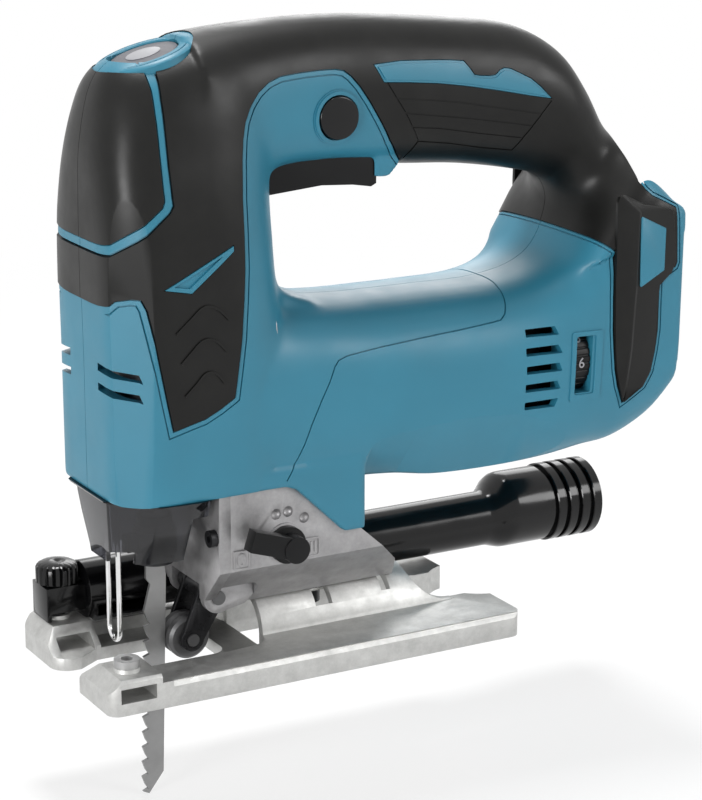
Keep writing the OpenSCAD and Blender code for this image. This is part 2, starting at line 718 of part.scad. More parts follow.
module arm_web() {
    dx = retainer_pin_x - roller_x;
    dz = retainer_pin_z - roller_z;
    d = sqrt(dx * dx + dz * dz);
    nx = 0.94 * arm_r * dz / d;
    nz = 0.94 * arm_r * dx / d;
    polygon([
        [roller_x - nx, roller_z + nz], [retainer_pin_x - nx, retainer_pin_z + nz],
        [retainer_pin_x + nx, retainer_pin_z - nz], [retainer_pin_x + nx + 0.6, roller_z + 0.6 * dz],
        [roller_x + nx, roller_z - nz]
    ]);
}
module retainer_pin() {
    color("gray") translate([retainer_pin_x, 0, retainer_pin_z]) bar_y(-lug_hw - 0.6, lug_hw + 0.6, retainer_pin_r);
}

// ---------- finger guard, chip cover, lamp ----------
guard_x = -60.4;
guard_bottom = 11.6;
module finger_guard() {
    bend = wire_gap / 2;
    color("gainsboro") translate([guard_x, 0, 0]) {
        for (s = [-1, 1]) translate([0, s * bend, 0]) bar_z(guard_bottom + bend, lower_guide_z0 + 4, wire_d / 2);
        translate([0, 0, guard_bottom + bend + wire_d / 2]) rotate([90, 180, 90])
            translate([0, wire_d / 2, 0])
            rotate_extrude(angle = 180) translate([bend, 0]) circle(wire_d / 2, $fn = 20);
    }
}
// A closed ring of points round the line from p to q in the (x, z) plane, w wide each way in y,
// with rounder corners for a smaller power; n[0] shapes the end at p and n[1] the end at q
outer_points = 24;
inner_points = 12;
function power(v, e) = v == 0 ? 0 : sign(v) * pow(abs(v), e);
function ring(p, q, w, n, inset, points) =
    let (d = [q[0] - p[0], q[1] - p[1]], long = sqrt(d[0] * d[0] + d[1] * d[1]),
         half = long / 2 - inset, u = d / long, mid = (p + q) / 2)
    [for (i = [0:points - 1])
        let (a = 360 * (i + 0.5) / points, e = 2 / (cos(a) < 0 ? n[0] : n[1]),
             along = half * power(cos(a), e), across = (w - inset) * power(sin(a), e))
        [mid[0] + along * u[0], across, mid[1] + along * u[1]]];
module between(a, b) {
    n = len(a);
    hull() polyhedron(
        points = concat(a, b),
        faces = concat(
            [[for (i = [0:n - 1]) i]], [[for (i = [n - 1:-1:0]) n + i]],
            [for (i = [0:n - 1]) [i, (i + 1) % n, n + (i + 1) % n]],
            [for (i = [0:n - 1]) [i, n + (i + 1) % n, n + i]]
        ));
}
// sections: [p, q, half width, [n at p, n at q]]
module loft(sections, inset = 0, points = outer_points) {
    rings = [for (s = sections) ring(s[0], s[1], s[2], s[3], inset, points)];
    for (i = [0:len(rings) - 2])
        between(rings[i], rings[i + 1]);
}
// Radius at which a hole made of $fn flats still takes a round part of radius r
function round_seat(r) = r / cos(180 / $fn) + 0.01;
cover_top = 65;
cover_bottom = 40;
cover_sections = [
    [[-66.8, cover_top], [-20, cover_top], 26.6, [5, 5]],
    [[-66.2, 54], [-22, 54], 22.5, [4.5, 4.5]],
    [[-65.4, 46], [-24, 46], 18.5, [4, 4]],
    [[-64.6, cover_bottom], [-26, cover_bottom], 15.5, [4, 4]]
];
module chip_cover() {
    shell = 1.7;
    color([0.35, 0.38, 0.42, 0.5]) {
        difference() {
            intersection() {
                loft(cover_sections);
                block(-80, seam_x - flange_t - 3, -40, 40, 30, 90);
            }
            loft(cover_sections, shell);
            block(-60, 0, -30, 30, cover_bottom - 1, cover_bottom + 0.02);
            // viewing notch low in the front
            hull() {
                translate([0, -3.5, cover_bottom + 3]) bar_x(-80, -50, 5);
                translate([0, 3.5, cover_bottom + 3]) bar_x(-80, -50, 5);
                translate([0, 0, cover_bottom - 6]) bar_x(-80, -50, 8);
            }
        }
        // rails that run beside the cover casting
        both_sides() block(-61, -46, case_hw - 3.5 + gap, case_hw - 3.5 + 2.2, cover_top - 4, 95);
    }
}
module lamp_lens() {
    color([0.9, 0.92, 0.95, 0.6]) translate([-52, -15.5, 0]) {
        bar_z(lower_guide_z0 - 6, lower_guide_z0 - 3, 3.4);
        translate([0, 0, lower_guide_z0 - 6]) sphere(2.6, $fn = 32);
    }
}

// ---------- orbital action ----------
lever_len = 17;
module orbit_lever() {
    y0 = -case_hw - 0.8 - gap;
    y1 = -case_hw - 10;
    color([0.1, 0.1, 0.11]) {
        translate([lever_x, 0, lever_z]) {
            bar_y(y0 - 2.6, y0, 6.4);
            bar_y(y1, y0 - 2.5, 4.6);
            bar_y(y0 - 0.1, -case_hw + 7, lever_shaft_r);
            rotate([0, -162, 0]) {
                block(0, lever_len, y1 + 0.6, y0 - 3, -3.6, 3.6);
            }
        }
    }
}
module orbit_cam() {
    color("gray") translate([lever_x, 0, lever_z]) difference() {
        bar_y(-case_hw + 3.6, -case_hw + 12, 6.2);
        bar_y(-case_hw, -case_hw + 7.05, lever_shaft_r + 0.01);
        block(-8, 8, -case_hw + 7.2, -case_hw + 14, 1.4, 8);
    }
}

// ---------- motor ----------
stator_x0 = 19;
stator_x1 = stator_x0 + stator_len;
rear_bearing_x0 = stator_x1 + 6;
rear_bearing_x1 = rear_bearing_x0 + 6;
rear_bearing_r = 8;
rear_shaft_r = 3;
fan_x0 = 2;
fan_x1 = 12;
module at_motor() {
    translate([0, 0, motor_z]) children();
}
module rotor() {
    color("gray") at_motor() {
        bar_x(gear_x0 - 0.5, gear_x1 + 2, 2.2);
        bar_x(gear_x1 + 1.9, stator_x1 + 2, shaft_r);
        bar_x(stator_x1 + 1, rear_bearing_x1 + 1, rear_shaft_r);
        bar_x(stator_x0 + 1, stator_x1 - 1, rotor_r);
    }
}
module fan() {
    blades = 11;
    color("dimgray") at_motor() difference() {
        union() {
            bar_x(fan_x0, fan_x0 + 1.6, fan_r);
            bar_x(fan_x0, fan_x1, shaft_r + 3);
            for (i = [0:blades - 1])
                rotate([360 * i / blades, 0, 0]) translate([fan_x0 + 1, shaft_r + 2, 0]) rotate([12, 0, 0])
                    cube([fan_x1 - fan_x0 - 2, fan_r - shaft_r - 4, 1.2]);
        }
        bar_x(fan_x0 - 1, fan_x1 + 1, shaft_r);
    }
}
module stator() {
    slots = 6;
    bore = rotor_r + 0.6;
    color("silver") at_motor() difference() {
        bar_x(stator_x0, stator_x1, round_seat(stator_r));
        bar_x(stator_x0 - 1, stator_x1 + 1, bore);
        for (i = [0:slots - 1])
            rotate([60 * i, 0, 0])
                translate([stator_x0 - 1, bore + 2.4, -4.2]) cube([stator_len + 2, stator_r - bore - 6.4, 8.4]);
        for (i = [0:slots - 1])
            rotate([60 * i, 0, 0]) translate([stator_x0 - 1, bore - 1, -1.2]) cube([stator_len + 2, 6, 2.4]);
    }
}
// Coil ends stand out of both faces of the stator, on the teeth between the slots
module windings() {
    slots = 6;
    color("chocolate") at_motor() for (i = [0:slots - 1])
        rotate([60 * i + 30, 0, 0]) {
            translate([stator_x0 - 4, rotor_r + 2.6, -6.2]) cube([3.9, 7.6, 12.4]);
            translate([stator_x1 + 0.1, rotor_r + 2.6, -6.2]) cube([3.4, 7.6, 12.4]);
        }
}
module ball_bearing(x0, x1, outer, inner) {
    difference() {
        bar_x(x0, x1, outer);
        bar_x(x0 - 1, x1 + 1, inner);
        for (x = [x0 - 1, x1 - 0.6])
            difference() {
                bar_x(x, x + 1.6, outer - 1.6);
                bar_x(x - 1, x + 3, inner + 1.6);
            }
    }
}
module bearing_front() {
    color("gainsboro") at_motor() ball_bearing(bearing_x0, bearing_x0 + 7, bearing_r, shaft_r + run_gap);
}
module bearing_rear() {
    color("gainsboro") at_motor()
        ball_bearing(rear_bearing_x0, rear_bearing_x1, rear_bearing_r, rear_shaft_r + run_gap);
}

// ---------- electronics ----------
board_x0 = rear_bearing_x1 + 4.5;
board_x1 = board_x0 + 20;
dial_x = 103.8;
dial_y = -shoe_hw + 1.6 + dial_r;
dial_z = 95.5;
module controller() {
    color([0.15, 0.15, 0.16]) difference() {
        block(board_x0, board_x1, -24, 24, 68, 110);
        block(board_x0 + 2, board_x1 - 2, -22, 22, 70, 111);
    }
    color("darkgreen") block(board_x0 + 3, board_x0 + 4.6, -21.5, 21.5, 70, 108);
}
module speed_dial() {
    ribs = 30;
    color([0.12, 0.12, 0.12]) translate([dial_x, dial_y, dial_z]) difference() {
        bar_x(-dial_w / 2, dial_w / 2, dial_r);
        bar_x(-dial_w, dial_w, 2 + run_gap);
        for (i = [0:ribs - 1])
            rotate([360 * (i + 0.5) / ribs, 0, 0]) translate([-dial_w, 0, dial_r + 0.25]) rotate([0, 90, 0])
                cylinder(h = 2 * dial_w, r = 0.6, $fn = 16);
    }
}
module dial_board() {
    color("darkgreen") block(dial_x + dial_w / 2 + 1, dial_x + dial_w / 2 + 2.6, dial_y - 10, dial_y + 12,
                             dial_z - 11, dial_z + 11);
    color("gray") translate([dial_x, dial_y, dial_z]) bar_x(-dial_w / 2 - 1, dial_w / 2 + 1.5, 2);
}
shoe_x1 = 146;
recess_x0 = 128;
recess_hw = 32.6;
recess_z0 = 80;
module terminal_block() {
    color([0.13, 0.13, 0.14]) difference() {
        union() {
            block(recess_x0 - 8, recess_x0 - 0.2, -26, 26, 86, 138);
            block(recess_x0 - 0.3, recess_x0 + 4, -20, 20, 92, 124);
        }
        block(recess_x0 - 9, recess_x0 - 3, -22, 22, 90, 134);
        for (y = [-13, -4.5, 4.5, 13])
            block(recess_x0 - 4, recess_x0 + 5, y - 0.45, y + 0.45, 97, 119);
    }
}
module terminal_blades() {
    color("gold") for (y = [-13, -4.5, 4.5, 13])
        block(recess_x0 - 6, recess_x0 + 9, y - 0.4, y + 0.4, 98, 118);
}

// ---------- housing ----------
// Sections of the nose and head, from the lower rim to the crown
column = [
    [[-69.6, 65.5], [-4, 65.5], nose_hw - 1, [5, 4]],
    [[-69.8, 84], [-4, 84], nose_hw - 0.5, [5, 4]],
    [[-70, 110], [-5, 110], nose_hw, [5, 3.4]],
    [[-70.3, 130], [-7.4, 130], nose_hw, [5, 3]],
    [[-70.2, 150], [-8.2, 150], nose_hw - 0.2, [4.6, 2.6]],
    [[-69.8, 165], [-8, 167], nose_hw - 1.5, [4, 2.4]],
    [[-68.6, 178], [-6, 182], nose_hw - 4, [3.4, 2.4]],
    [[-66.8, 190], [-4, 196], nose_hw - 6.6, [3, 2.2]],
    [[-64.4, 199], [-2, 207], nose_hw - 10.5, [2.8, 2.2]],
    [[-60.6, 205], [-2, 213], nose_hw - 16, [2.6, 2.2]],
    [[-55, 208.8], [-6, 216], nose_hw - 23, [2.4, 2.2]]
];
// Sections of the handle and the rear neck, from inside the head to the shoe
handle = [
    [[-34, 162], [-34, 214.2], grip_hw + 7, [3, 2.4]],
    [[-18, 164], [-18, 216.2], grip_hw + 3.5, [3, 2.4]],
    [[-2, 169], [-2, 217.2], grip_hw + 1.2, [3.4, 2.4]],
    [[16, 170], [16, 217.7], grip_hw, [3.4, 2.3]],
    [[34, 169], [34, 217], grip_hw - 0.2, [3, 2.3]],
    [[47, 165], [47, 216], grip_hw, [2.4, 2.3]],
    [[70, 164], [70, 213.8], grip_hw, [2.4, 2.3]],
    [[90, 161.6], [92, 210.6], grip_hw + 0.5, [2.4, 2.3]],
    [[101, 157.5], [110, 203], grip_hw + 1.5, [2.5, 2.3]],
    [[105.5, 153], [124, 191], grip_hw + 3, [2.6, 2.4]],
    [[105, 148], [134, 177.5], grip_hw + 5, [2.8, 2.6]],
    [[102, 142], [141, 165.5], grip_hw + 9, [3, 3]],
    [[97, 133], [142.5, 158], grip_hw + 14, [3.4, 3.6]],
    [[90, 122], [143.5, 150], shoe_hw - 1.5, [4, 5]]
];
// Sections of the motor barrel, from inside the nose to the shoe's end
barrel = [
    [[-30, 62], [-30, 126], nose_hw - 0.8, [3.4, 3]],
    [[0, 60], [0, 124.6], nose_hw - 0.8, [3.4, 3]],
    [[22, 60], [22, 123.2], barrel_hw - 1.6, [3.2, 2.8]],
    [[38, 59], [38, 122.9], barrel_hw - 0.8, [3.2, 2.8]],
    [[56, 56], [56, 122.8], barrel_hw, [3, 2.8]],
    [[80, 55.6], [80, 123], barrel_hw + 1, [3, 3]],
    [[98, 57], [98, 127], barrel_hw + 2.4, [3.2, 3.4]],
    [[112, 60.5], [112, 138], shoe_hw - 0.6, [3.6, 4.4]],
    [[122, 65], [124, 150], shoe_hw, [4.4, 5]],
    [[134, 77], [136, 151], shoe_hw, [5, 5]],
    [[143, 96], [shoe_x1, 148], shoe_hw, [6, 6]]
];
// Skirt that laps over the side of the gear case, in (x, z)
module skirt_outline(inset) {
    polygon([
        [-32, 70], [-32, 65.5], [-9.5, 65.5], [-5.5, 64], [12.6 + inset, 46.6 + inset],
        [20.6 - inset, 46.6 + inset], [20.6 - inset, 70]
    ]);
}
module body_form(inset = 0) {
    loft(column, inset);
    loft(handle, inset);
    loft(barrel, inset);
    xz_prism(-nose_hw + 1.6 + inset, nose_hw - 1.6 - inset) skirt_outline(inset);
}
// Where rubber covers the shell, in (x, z)
module rubber_outline() {
    difference() {
        union() {
            // head, crown, handle and neck
            polygon([
                [-80, 136], [-60, 129], [-57, 118], [-52, 91], [-40, 96], [-29, 99.5], [-26.3, 118], [-26, 151],
                [-25.6, 180.6], [-18, 194], [-8, 202], [6, 204.5], [18, 203], [26, 196], [33, 183], [39, 168],
                [45, 158], [80, 158], [84, 143.3], [94, 140.4], [112, 138.6], [118, 140], [122, 160], [129, 173],
                [150, 190], [150, 230], [-80, 230]
            ]);
        }
        // chevron stripe of the shell between cap and nose band
        polygon([[-80, 154], [-68, 149.6], [-58, 154.5], [-48, 166], [-48, 180], [-46, 230], [-49, 230],
                 [-51, 180], [-51, 168], [-59.5, 157.6], [-69, 153], [-80, 157]]);
        // inlay along the grip
        polygon([[30, 202.3], [65, 201.1], [80, 198], [88, 195.4], [100.7, 187], [63, 193.4], [34, 196.6]]);
        // triangle on the nose panel
        polygon([[-53, 138], [-30, 150], [-45, 137]]);
        // ring round the power button
        translate([power_x, power_z]) circle(4);
    }
}
power_x = -45.5;
power_z = 208.6;
power_tilt = -17;
module at_power() {
    translate([power_x, 0, power_z]) rotate([0, power_tilt, 0]) children();
}
lock_x = 16;
lock_z = 186;
// Hollow of the shell, less the ribs and screw bosses that stand in it
module hollow() {
    $fn = 16;
    difference() {
        union() {
            loft([for (s = column) if (s[0][1] > 70 && s[0][1] < 192) s], skin + wall - 0.4, inner_points);
            block(-66.5, -16, -nose_hw + 1 + wall, nose_hw - 1 - wall, 50, 97);
            loft([for (s = barrel) if (s[0][0] < 100) s], wall, inner_points);
            loft([for (s = handle) if (s[0][1] > 156) s], skin + wall, inner_points);
            block(board_x1 - 1, recess_x0 - 4, -22, 22, 76, 120);
        }
        // tube and ribs that hold the motor
        at_motor() bar_x(-4, rear_bearing_x1, stator_r + 2.2, $fn = 32);
        for (x = [0, 40, rear_bearing_x0 + 1.5])
            block(x, x + 2, -shoe_hw, shoe_hw, 50, 118);
        // seat of the trigger's spring, and the frame round the lock-off button
        block(9, 21, -grip_hw, grip_hw, seat_z, 177.6);
        for (x = [7, 24])
            block(x - 1, x + 1, -grip_hw, grip_hw, 177, 214);
        for (p = screw_places)
            translate([p[0], 0, p[1]]) bar_y(-shoe_hw, shoe_hw, 4.2);
    }
}
// Seats cut to the size of what they hold
module seats() {
    $fn = 32;
    block(seam_x - flange_t - 1, 21, -case_hw - gap, case_hw + gap, 40, 75);
    block(seam_x - flange_t - 1, chamber_x1 + gap, -chamber_r - gap, chamber_r + gap, 70, 122);
    translate([0, 0, gear_z]) bar_x(seam_x - flange_t - 1, chamber_x1 + gap, round_seat(chamber_r + gap));
    at_motor() {
        bar_x(-16, fan_x0 - 1, bearing_r + 3 + gap);
        bar_x(fan_x0 - 1.2, stator_x0 - 4.3, 24.9);
        bar_x(stator_x0 - 4.4, stator_x0, stator_r - 1.6);
        bar_x(stator_x0, stator_x1, stator_r);
        bar_x(stator_x1 - 0.1, rear_bearing_x0, stator_r - 1.6);
        bar_x(rear_bearing_x0 - 0.2, rear_bearing_x1, round_seat(rear_bearing_r));
        bar_x(rear_bearing_x1 - 1, board_x0 + 1, rear_shaft_r + 2);
    }
    block(board_x0 - 0.2, board_x1 + 0.2, -24.2, 24.2, 67.8, 110.2);
    translate([0, dial_y, dial_z]) {
        bar_x(dial_x - dial_w / 2 - 1.5, dial_x + dial_w / 2 + 1.5, dial_r + 0.6);
        block(dial_x - dial_w / 2 - 1.5, dial_x + dial_w / 2 + 3.2, -10.5, 34, -12, 12);
    }
    block(recess_x0 - 8.2, recess_x0 + 1, -26.2, 26.2, 85.8, 138.2);
    // battery recess, open to the rear and upwards
    block(recess_x0, shoe_x1 + 5, -recess_hw, recess_hw, recess_z0, 175);
    // bay of the switch
    block(-24, 7, -8, 8, 177, 199);
    // screws
    for (p = screw_places)
        translate([p[0], 0, p[1]]) {
            bar_y(-4.4, 9, 1.75, $fn = 12);
            bar_y(8, 45, 3.3, $fn = 16);
        }
}
module cuts() {
    // trigger mouth
    block(-9.9, 35.6, -trigger_hw - gap, trigger_hw + gap, 150, 180);
    // lock-off button
    translate([lock_x, 0, lock_z]) bar_y(-40, 40, lock_r + gap);
    // power button well
    at_power() bar_z(-9, 20, power_r + gap);
    // dial window
    block(dial_x - dial_w / 2 - 0.4, dial_x + dial_w / 2 + 0.4, -shoe_hw - 3, -20, dial_z - 10, dial_z + 10);
    // side vents beside the controller
    both_sides() for (i = [0:4])
        translate([0, 0, 84 + 6.2 * i]) hull() {
            translate([81.6, 0, 0.6]) bar_y(-50, -20, 1.6, $fn = 16);
            translate([94 - (i == 4 ? 1 : 0), 0, -1.6]) bar_y(-50, -20, 1.6, $fn = 16);
        }
    // nose vents
    both_sides() for (z = [103.6, 109.8]) hull() {
        translate([-75, -12.6, z]) sphere(1.3, $fn = 12);
        translate([-66, -12.6, z]) sphere(1.3, $fn = 12);
        translate([-66, -40, z]) sphere(1.3, $fn = 12);
    }
}
module rails() {
    both_sides() {
        block(137.5, 141, recess_hw - 3.4, recess_hw + 1, 84, 146);
        block(recess_x0 - 1, 131, recess_hw - 3.4, recess_hw + 1, 80, 150);
    }
}
module blue_shell() {
    difference() {
        union() {
            difference() {
                body_form();
                xz_prism(-50, 50) rubber_outline();
            }
            body_form(skin);
        }
        hollow();
        seats();
        cuts();
    }
    rails();
    // pin of the trigger
    translate([trigger_pivot_x, 0, trigger_pivot_z]) bar_y(-trigger_hw - 1, trigger_hw + 1, trigger_pin_r);
}
module rubber_skin() {
    difference() {
        intersection() {
            body_form();
            xz_prism(-50, 50) rubber_outline();
        }
        body_form(skin);
        seats();
        cuts();
    }
}
module half_space(s) {
    if (s > 0) block(-120, 200, 0, 80, -20, 260);
    else block(-120, 200, -80, 0, -20, 260);
}
module housing_left() {
    color([0.1, 0.45, 0.55]) intersection() {
        blue_shell();
        half_space(-1);
    }
}
module housing_right() {
    color([0.1, 0.45, 0.55]) intersection() {
        blue_shell();
        half_space(1);
    }
}
module grip_left() {
    color([0.12, 0.12, 0.12]) intersection() {
        rubber_skin();
        half_space(-1);
    }
}
module grip_right() {
    color([0.12, 0.12, 0.12]) intersection() {
        rubber_skin();
        half_space(1);
    }
}
module bumper_outline() {
    polygon([[116, 150], [117.5, 84], [121, 80], [132.5, 89], [134, 120.5], [139.6, 126], [139.8, 144.6],
             [125.5, 148.6], [117.5, 153.6]]);
}
module bumper(s) {
    color([0.1, 0.1, 0.1])
        xz_prism(s > 0 ? shoe_hw : -shoe_hw - 1.4, s > 0 ? shoe_hw + 1.4 : -shoe_hw) bumper_outline();
}
module bumper_left() { bumper(-1); }
module bumper_right() { bumper(1); }
screw_places = [[-62.5, 100], [-20, 152], [8, 117], [66, 63.6], [112, 130], [44, 190], [99, 182], [111, 74]];
module housing_screws() {
    color("dimgray") for (p = screw_places)
        translate([p[0], 8, p[1]]) rotate([-90, 0, 0]) cap_screw(1.6, 12, 3, 2);
}

// ---------- controls ----------
module power_button() {
    color("lightgray") at_power() {
        bar_z(-2.4, 1.2, power_r);
        bar_z(-5, -2.2, 4);
    }
}
module power_board() {
    color("darkgreen") at_power() bar_z(-5.4 - power_travel - 1.6, -5.4 - power_travel, 9);
}
module lock_button() {
    color([0.1, 0.1, 0.1]) translate([lock_x, 0, lock_z]) {
        bar_y(-grip_hw - 1.6, grip_hw + 1.6, lock_r - 1.4);
        bar_y(-grip_hw - 1.6, -grip_hw + 3, lock_r);
        bar_y(grip_hw - 3, grip_hw + 1.6, lock_r);
    }
}
trigger_hw = 10.5;
trigger_pivot_x = 31;
trigger_pivot_z = 175;
trigger_pin_r = 1.6;
spring_x = 14;
seat_z = 175.6;
module trigger() {
    color([0.1, 0.1, 0.1]) difference() {
        xz_prism(-trigger_hw, trigger_hw) polygon([
            [-8, 173.4], [-8, 162], [-6, 160.8], [2, 161.4], [14, 162.4], [26, 161.6], [33, 160.4], [35, 161.4],
            [35.1, 171.4], [33.6, 178], [28.4, 178], [26, 173.4]
        ]);
        block(-5.8, 24, -trigger_hw + 2.2, trigger_hw - 2.2, 165, 175);
        translate([trigger_pivot_x, 0, trigger_pivot_z]) bar_y(-20, 20, trigger_pin_r + run_gap);
    }
}
module trigger_spring() {
    turns = 5;
    coil_r = 3;
    wire = 0.45;
    z0 = 165.1;
    z1 = seat_z - 0.05;
    steps = 12 * turns;
    sides = 6;
    pts = [for (i = [0:steps], k = [0:sides - 1])
        let (a = 30 * i, b = 360 * k / sides, r = coil_r + wire * cos(b))
        [spring_x + r * cos(a), r * sin(a), z0 + wire + (z1 - z0 - 2 * wire) * i / steps + wire * sin(b)]];
    faces = concat(
        [[for (k = [0:sides - 1]) k]],
        [[for (k = [sides - 1:-1:0]) steps * sides + k]],
        [for (i = [0:steps - 1], k = [0:sides - 1])
            [i * sides + (k + 1) % sides, i * sides + k, (i + 1) * sides + k]],
        [for (i = [0:steps - 1], k = [0:sides - 1])
            [i * sides + (k + 1) % sides, (i + 1) * sides + k, (i + 1) * sides + (k + 1) % sides]]);
    color("gainsboro") polyhedron(points = pts, faces = faces);
}
module switch_body() {
    color([0.2, 0.2, 0.21]) {
        block(-23, 6, -7.8, 7.8, 178.4, 198);
        block(-3, 3, -4, 4, 177.2, 178.5);
    }
}

base_plate();
base_clamp_plate();
base_clamp_bolt();
fence_screw();
dust_nozzle();
nozzle_screw();
gear_case();
case_cover();
case_screws();
rod_guides();
gear_shaft();
drive_gear();
crank_roller();
plunger_rod();
yoke();
blade_clamp();
blade();
retainer_arm();
retainer_pin();
roller();
roller_pin();
finger_guard();
chip_cover();
lamp_lens();
orbit_lever();
orbit_cam();
rotor();
pinion();
fan();
stator();
windings();
bearing_front();
bearing_rear();
controller();
speed_dial();
dial_board();
terminal_block();
terminal_blades();
housing_left();
housing_right();
grip_left();
grip_right();
bumper_left();
bumper_right();
housing_screws();
power_button();
power_board();
lock_button();
trigger();
trigger_spring();
switch_body();
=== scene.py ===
import math
import bpy
from mathutils import Matrix, Vector


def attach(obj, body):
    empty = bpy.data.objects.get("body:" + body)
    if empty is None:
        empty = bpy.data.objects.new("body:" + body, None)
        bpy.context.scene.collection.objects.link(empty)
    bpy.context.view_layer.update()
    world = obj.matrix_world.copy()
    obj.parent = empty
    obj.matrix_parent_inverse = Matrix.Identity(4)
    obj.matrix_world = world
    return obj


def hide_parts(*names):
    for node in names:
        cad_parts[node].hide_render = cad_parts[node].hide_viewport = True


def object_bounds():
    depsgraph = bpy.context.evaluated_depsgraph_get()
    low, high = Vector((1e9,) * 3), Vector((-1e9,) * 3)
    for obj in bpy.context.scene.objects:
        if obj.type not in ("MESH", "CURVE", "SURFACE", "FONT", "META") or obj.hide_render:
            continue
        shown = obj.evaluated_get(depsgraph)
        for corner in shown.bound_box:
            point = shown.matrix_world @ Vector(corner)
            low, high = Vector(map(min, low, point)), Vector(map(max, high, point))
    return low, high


MM = 0.001
MERGE = 0.000002
NODE_MERGE = 0.000005
NODE_FLAT = math.radians(4)
SMOOTH_ANGLE = 32
THROUGH = 60
HANDS = ((-1, "left"), (1, "right"))

# ---------- camera ----------
AIM = Vector((31.22, 0, 83.37)) * MM
CAMERA_AZIMUTH = math.radians(-29.28)
CAMERA_ELEVATION = math.radians(15.33)
CAMERA_ROLL = math.radians(0.1)
CAMERA_DISTANCE = 857.9 * MM
LENS = 110.58


def add_camera():
    direction = Vector((
        math.sin(CAMERA_AZIMUTH) * math.cos(CAMERA_ELEVATION),
        -math.cos(CAMERA_AZIMUTH) * math.cos(CAMERA_ELEVATION),
        math.sin(CAMERA_ELEVATION),
    ))
    data = bpy.data.cameras.new("camera")
    data.lens = LENS
    data.sensor_width = 36
    camera = bpy.data.objects.new("camera", data)
    camera.location = AIM + direction * CAMERA_DISTANCE
    camera.rotation_euler = direction.to_track_quat("Z", "Y").to_euler()
    camera.rotation_euler.rotate_axis("Z", CAMERA_ROLL)
    bpy.context.scene.collection.objects.link(camera)
    bpy.context.scene.camera = camera


add_camera()
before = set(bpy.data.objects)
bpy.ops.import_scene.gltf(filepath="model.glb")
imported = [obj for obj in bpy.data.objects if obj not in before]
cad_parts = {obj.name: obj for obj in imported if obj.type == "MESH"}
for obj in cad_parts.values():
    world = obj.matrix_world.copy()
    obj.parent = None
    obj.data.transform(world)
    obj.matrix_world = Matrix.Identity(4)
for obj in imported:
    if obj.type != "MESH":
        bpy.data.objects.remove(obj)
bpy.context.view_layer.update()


# ---------- modelling tools ----------
def select(*pieces):
    bpy.ops.object.select_all(action="DESELECT")
    for piece in pieces:
        piece.select_set(True)
    bpy.context.view_layer.objects.active = pieces[0]


def edit_all(piece):
    select(piece)
    bpy.ops.object.mode_set(mode="EDIT")
    bpy.ops.mesh.select_all(action="SELECT")


def leave_edit():
    bpy.ops.object.mode_set(mode="OBJECT")


def started(name, add, **sizes):
    """A new primitive, named, with nothing else selected."""
    bpy.ops.object.select_all(action="DESELECT")
    add(**sizes)
    piece = bpy.context.object
    piece.name = name
    piece.data.name = name
    return piece


def place_points(piece, points):
    for vertex, point in zip(piece.data.vertices, points):
        vertex.co = Vector(point) * MM


def outward(piece):
    edit_all(piece)
    bpy.ops.mesh.remove_doubles(threshold=MERGE)
    bpy.ops.mesh.normals_make_consistent(inside=False)
    leave_edit()
    return piece


def apply_modifiers(piece):
    select(piece)
    for m in list(piece.modifiers):
        bpy.ops.object.modifier_apply(modifier=m.name)
    return piece


def joined(name, parts):
    select(*parts)
    if len(parts) > 1:
        bpy.ops.object.join()
    parts[0].name = name
    return parts[0]


def in_scene(thing):
    bpy.context.scene.collection.objects.link(thing)


def removed(piece):
    bpy.data.objects.remove(piece, do_unlink=True)


def copied(piece, name):
    twin = piece.copy()
    twin.data = piece.data.copy()
    twin.name = name
    in_scene(twin)
    return twin


def bevelled(piece, width, segments=2, angle=35):
    m = piece.modifiers.new("edges", "BEVEL")
    m.width = width * MM
    m.segments = segments
    m.limit_method = "ANGLE"
    m.angle_limit = math.radians(angle)
    return apply_modifiers(piece)


def plate(name, outline, low, high, axis="Y"):
    """A slab: a flat outline in the two other axes, extruded from low to high along its axis."""
    def at(p, h):
        return {"X": (h, p[0], p[1]), "Y": (p[0], h, p[1]), "Z": (p[0], p[1], h)}[axis]

    piece = started(name, bpy.ops.mesh.primitive_circle_add, vertices=len(outline), radius=0.01,
                    fill_type="NGON")
    place_points(piece, [at(p, low) for p in outline])
    edit_all(piece)
    travel = Vector(at((0, 0), high - low)) * MM
    bpy.ops.mesh.extrude_region_move(TRANSFORM_OT_translate={"value": travel})
    leave_edit()
    return outward(piece)


def rectangle(low, high, inward=0):
    x0, y0, x1, y1 = low[0] + inward, low[1] + inward, high[0] - inward, high[1] - inward
    return [(x0, y0), (x1, y0), (x1, y1), (x0, y1)]


def oval(x, z, half_width, half_height, steps):
    turns = [math.tau * i / steps for i in range(steps)]
    return [(x + half_width * math.cos(a), z + half_height * math.sin(a)) for a in turns]


def circle(x, z, radius):
    return oval(x, z, radius, radius, 48)


def box(name, low, high):
    return plate(name, rectangle(low, high), low[2], high[2], "Z")


def wrapped(name, rings, endless=False):
    """A grid wrapped round a row of rings, closed at both ends or into a loop."""
    rows = rings + [rings[0]] if endless else rings
    around = len(rings[0])
    piece = started(name, bpy.ops.mesh.primitive_grid_add, x_subdivisions=around,
                    y_subdivisions=len(rows) - 1)
    place_points(piece, [ring[i % around] for ring in rows for i in range(around + 1)])
    edit_all(piece)
    bpy.ops.mesh.remove_doubles(threshold=MERGE)
    if not endless:
        bpy.ops.mesh.select_all(action="DESELECT")
        bpy.ops.mesh.select_mode(type="EDGE")
        bpy.ops.mesh.select_non_manifold()
        bpy.ops.mesh.fill_holes(sides=0)
        bpy.ops.mesh.select_mode(type="VERT")
    leave_edit()
    return outward(piece)


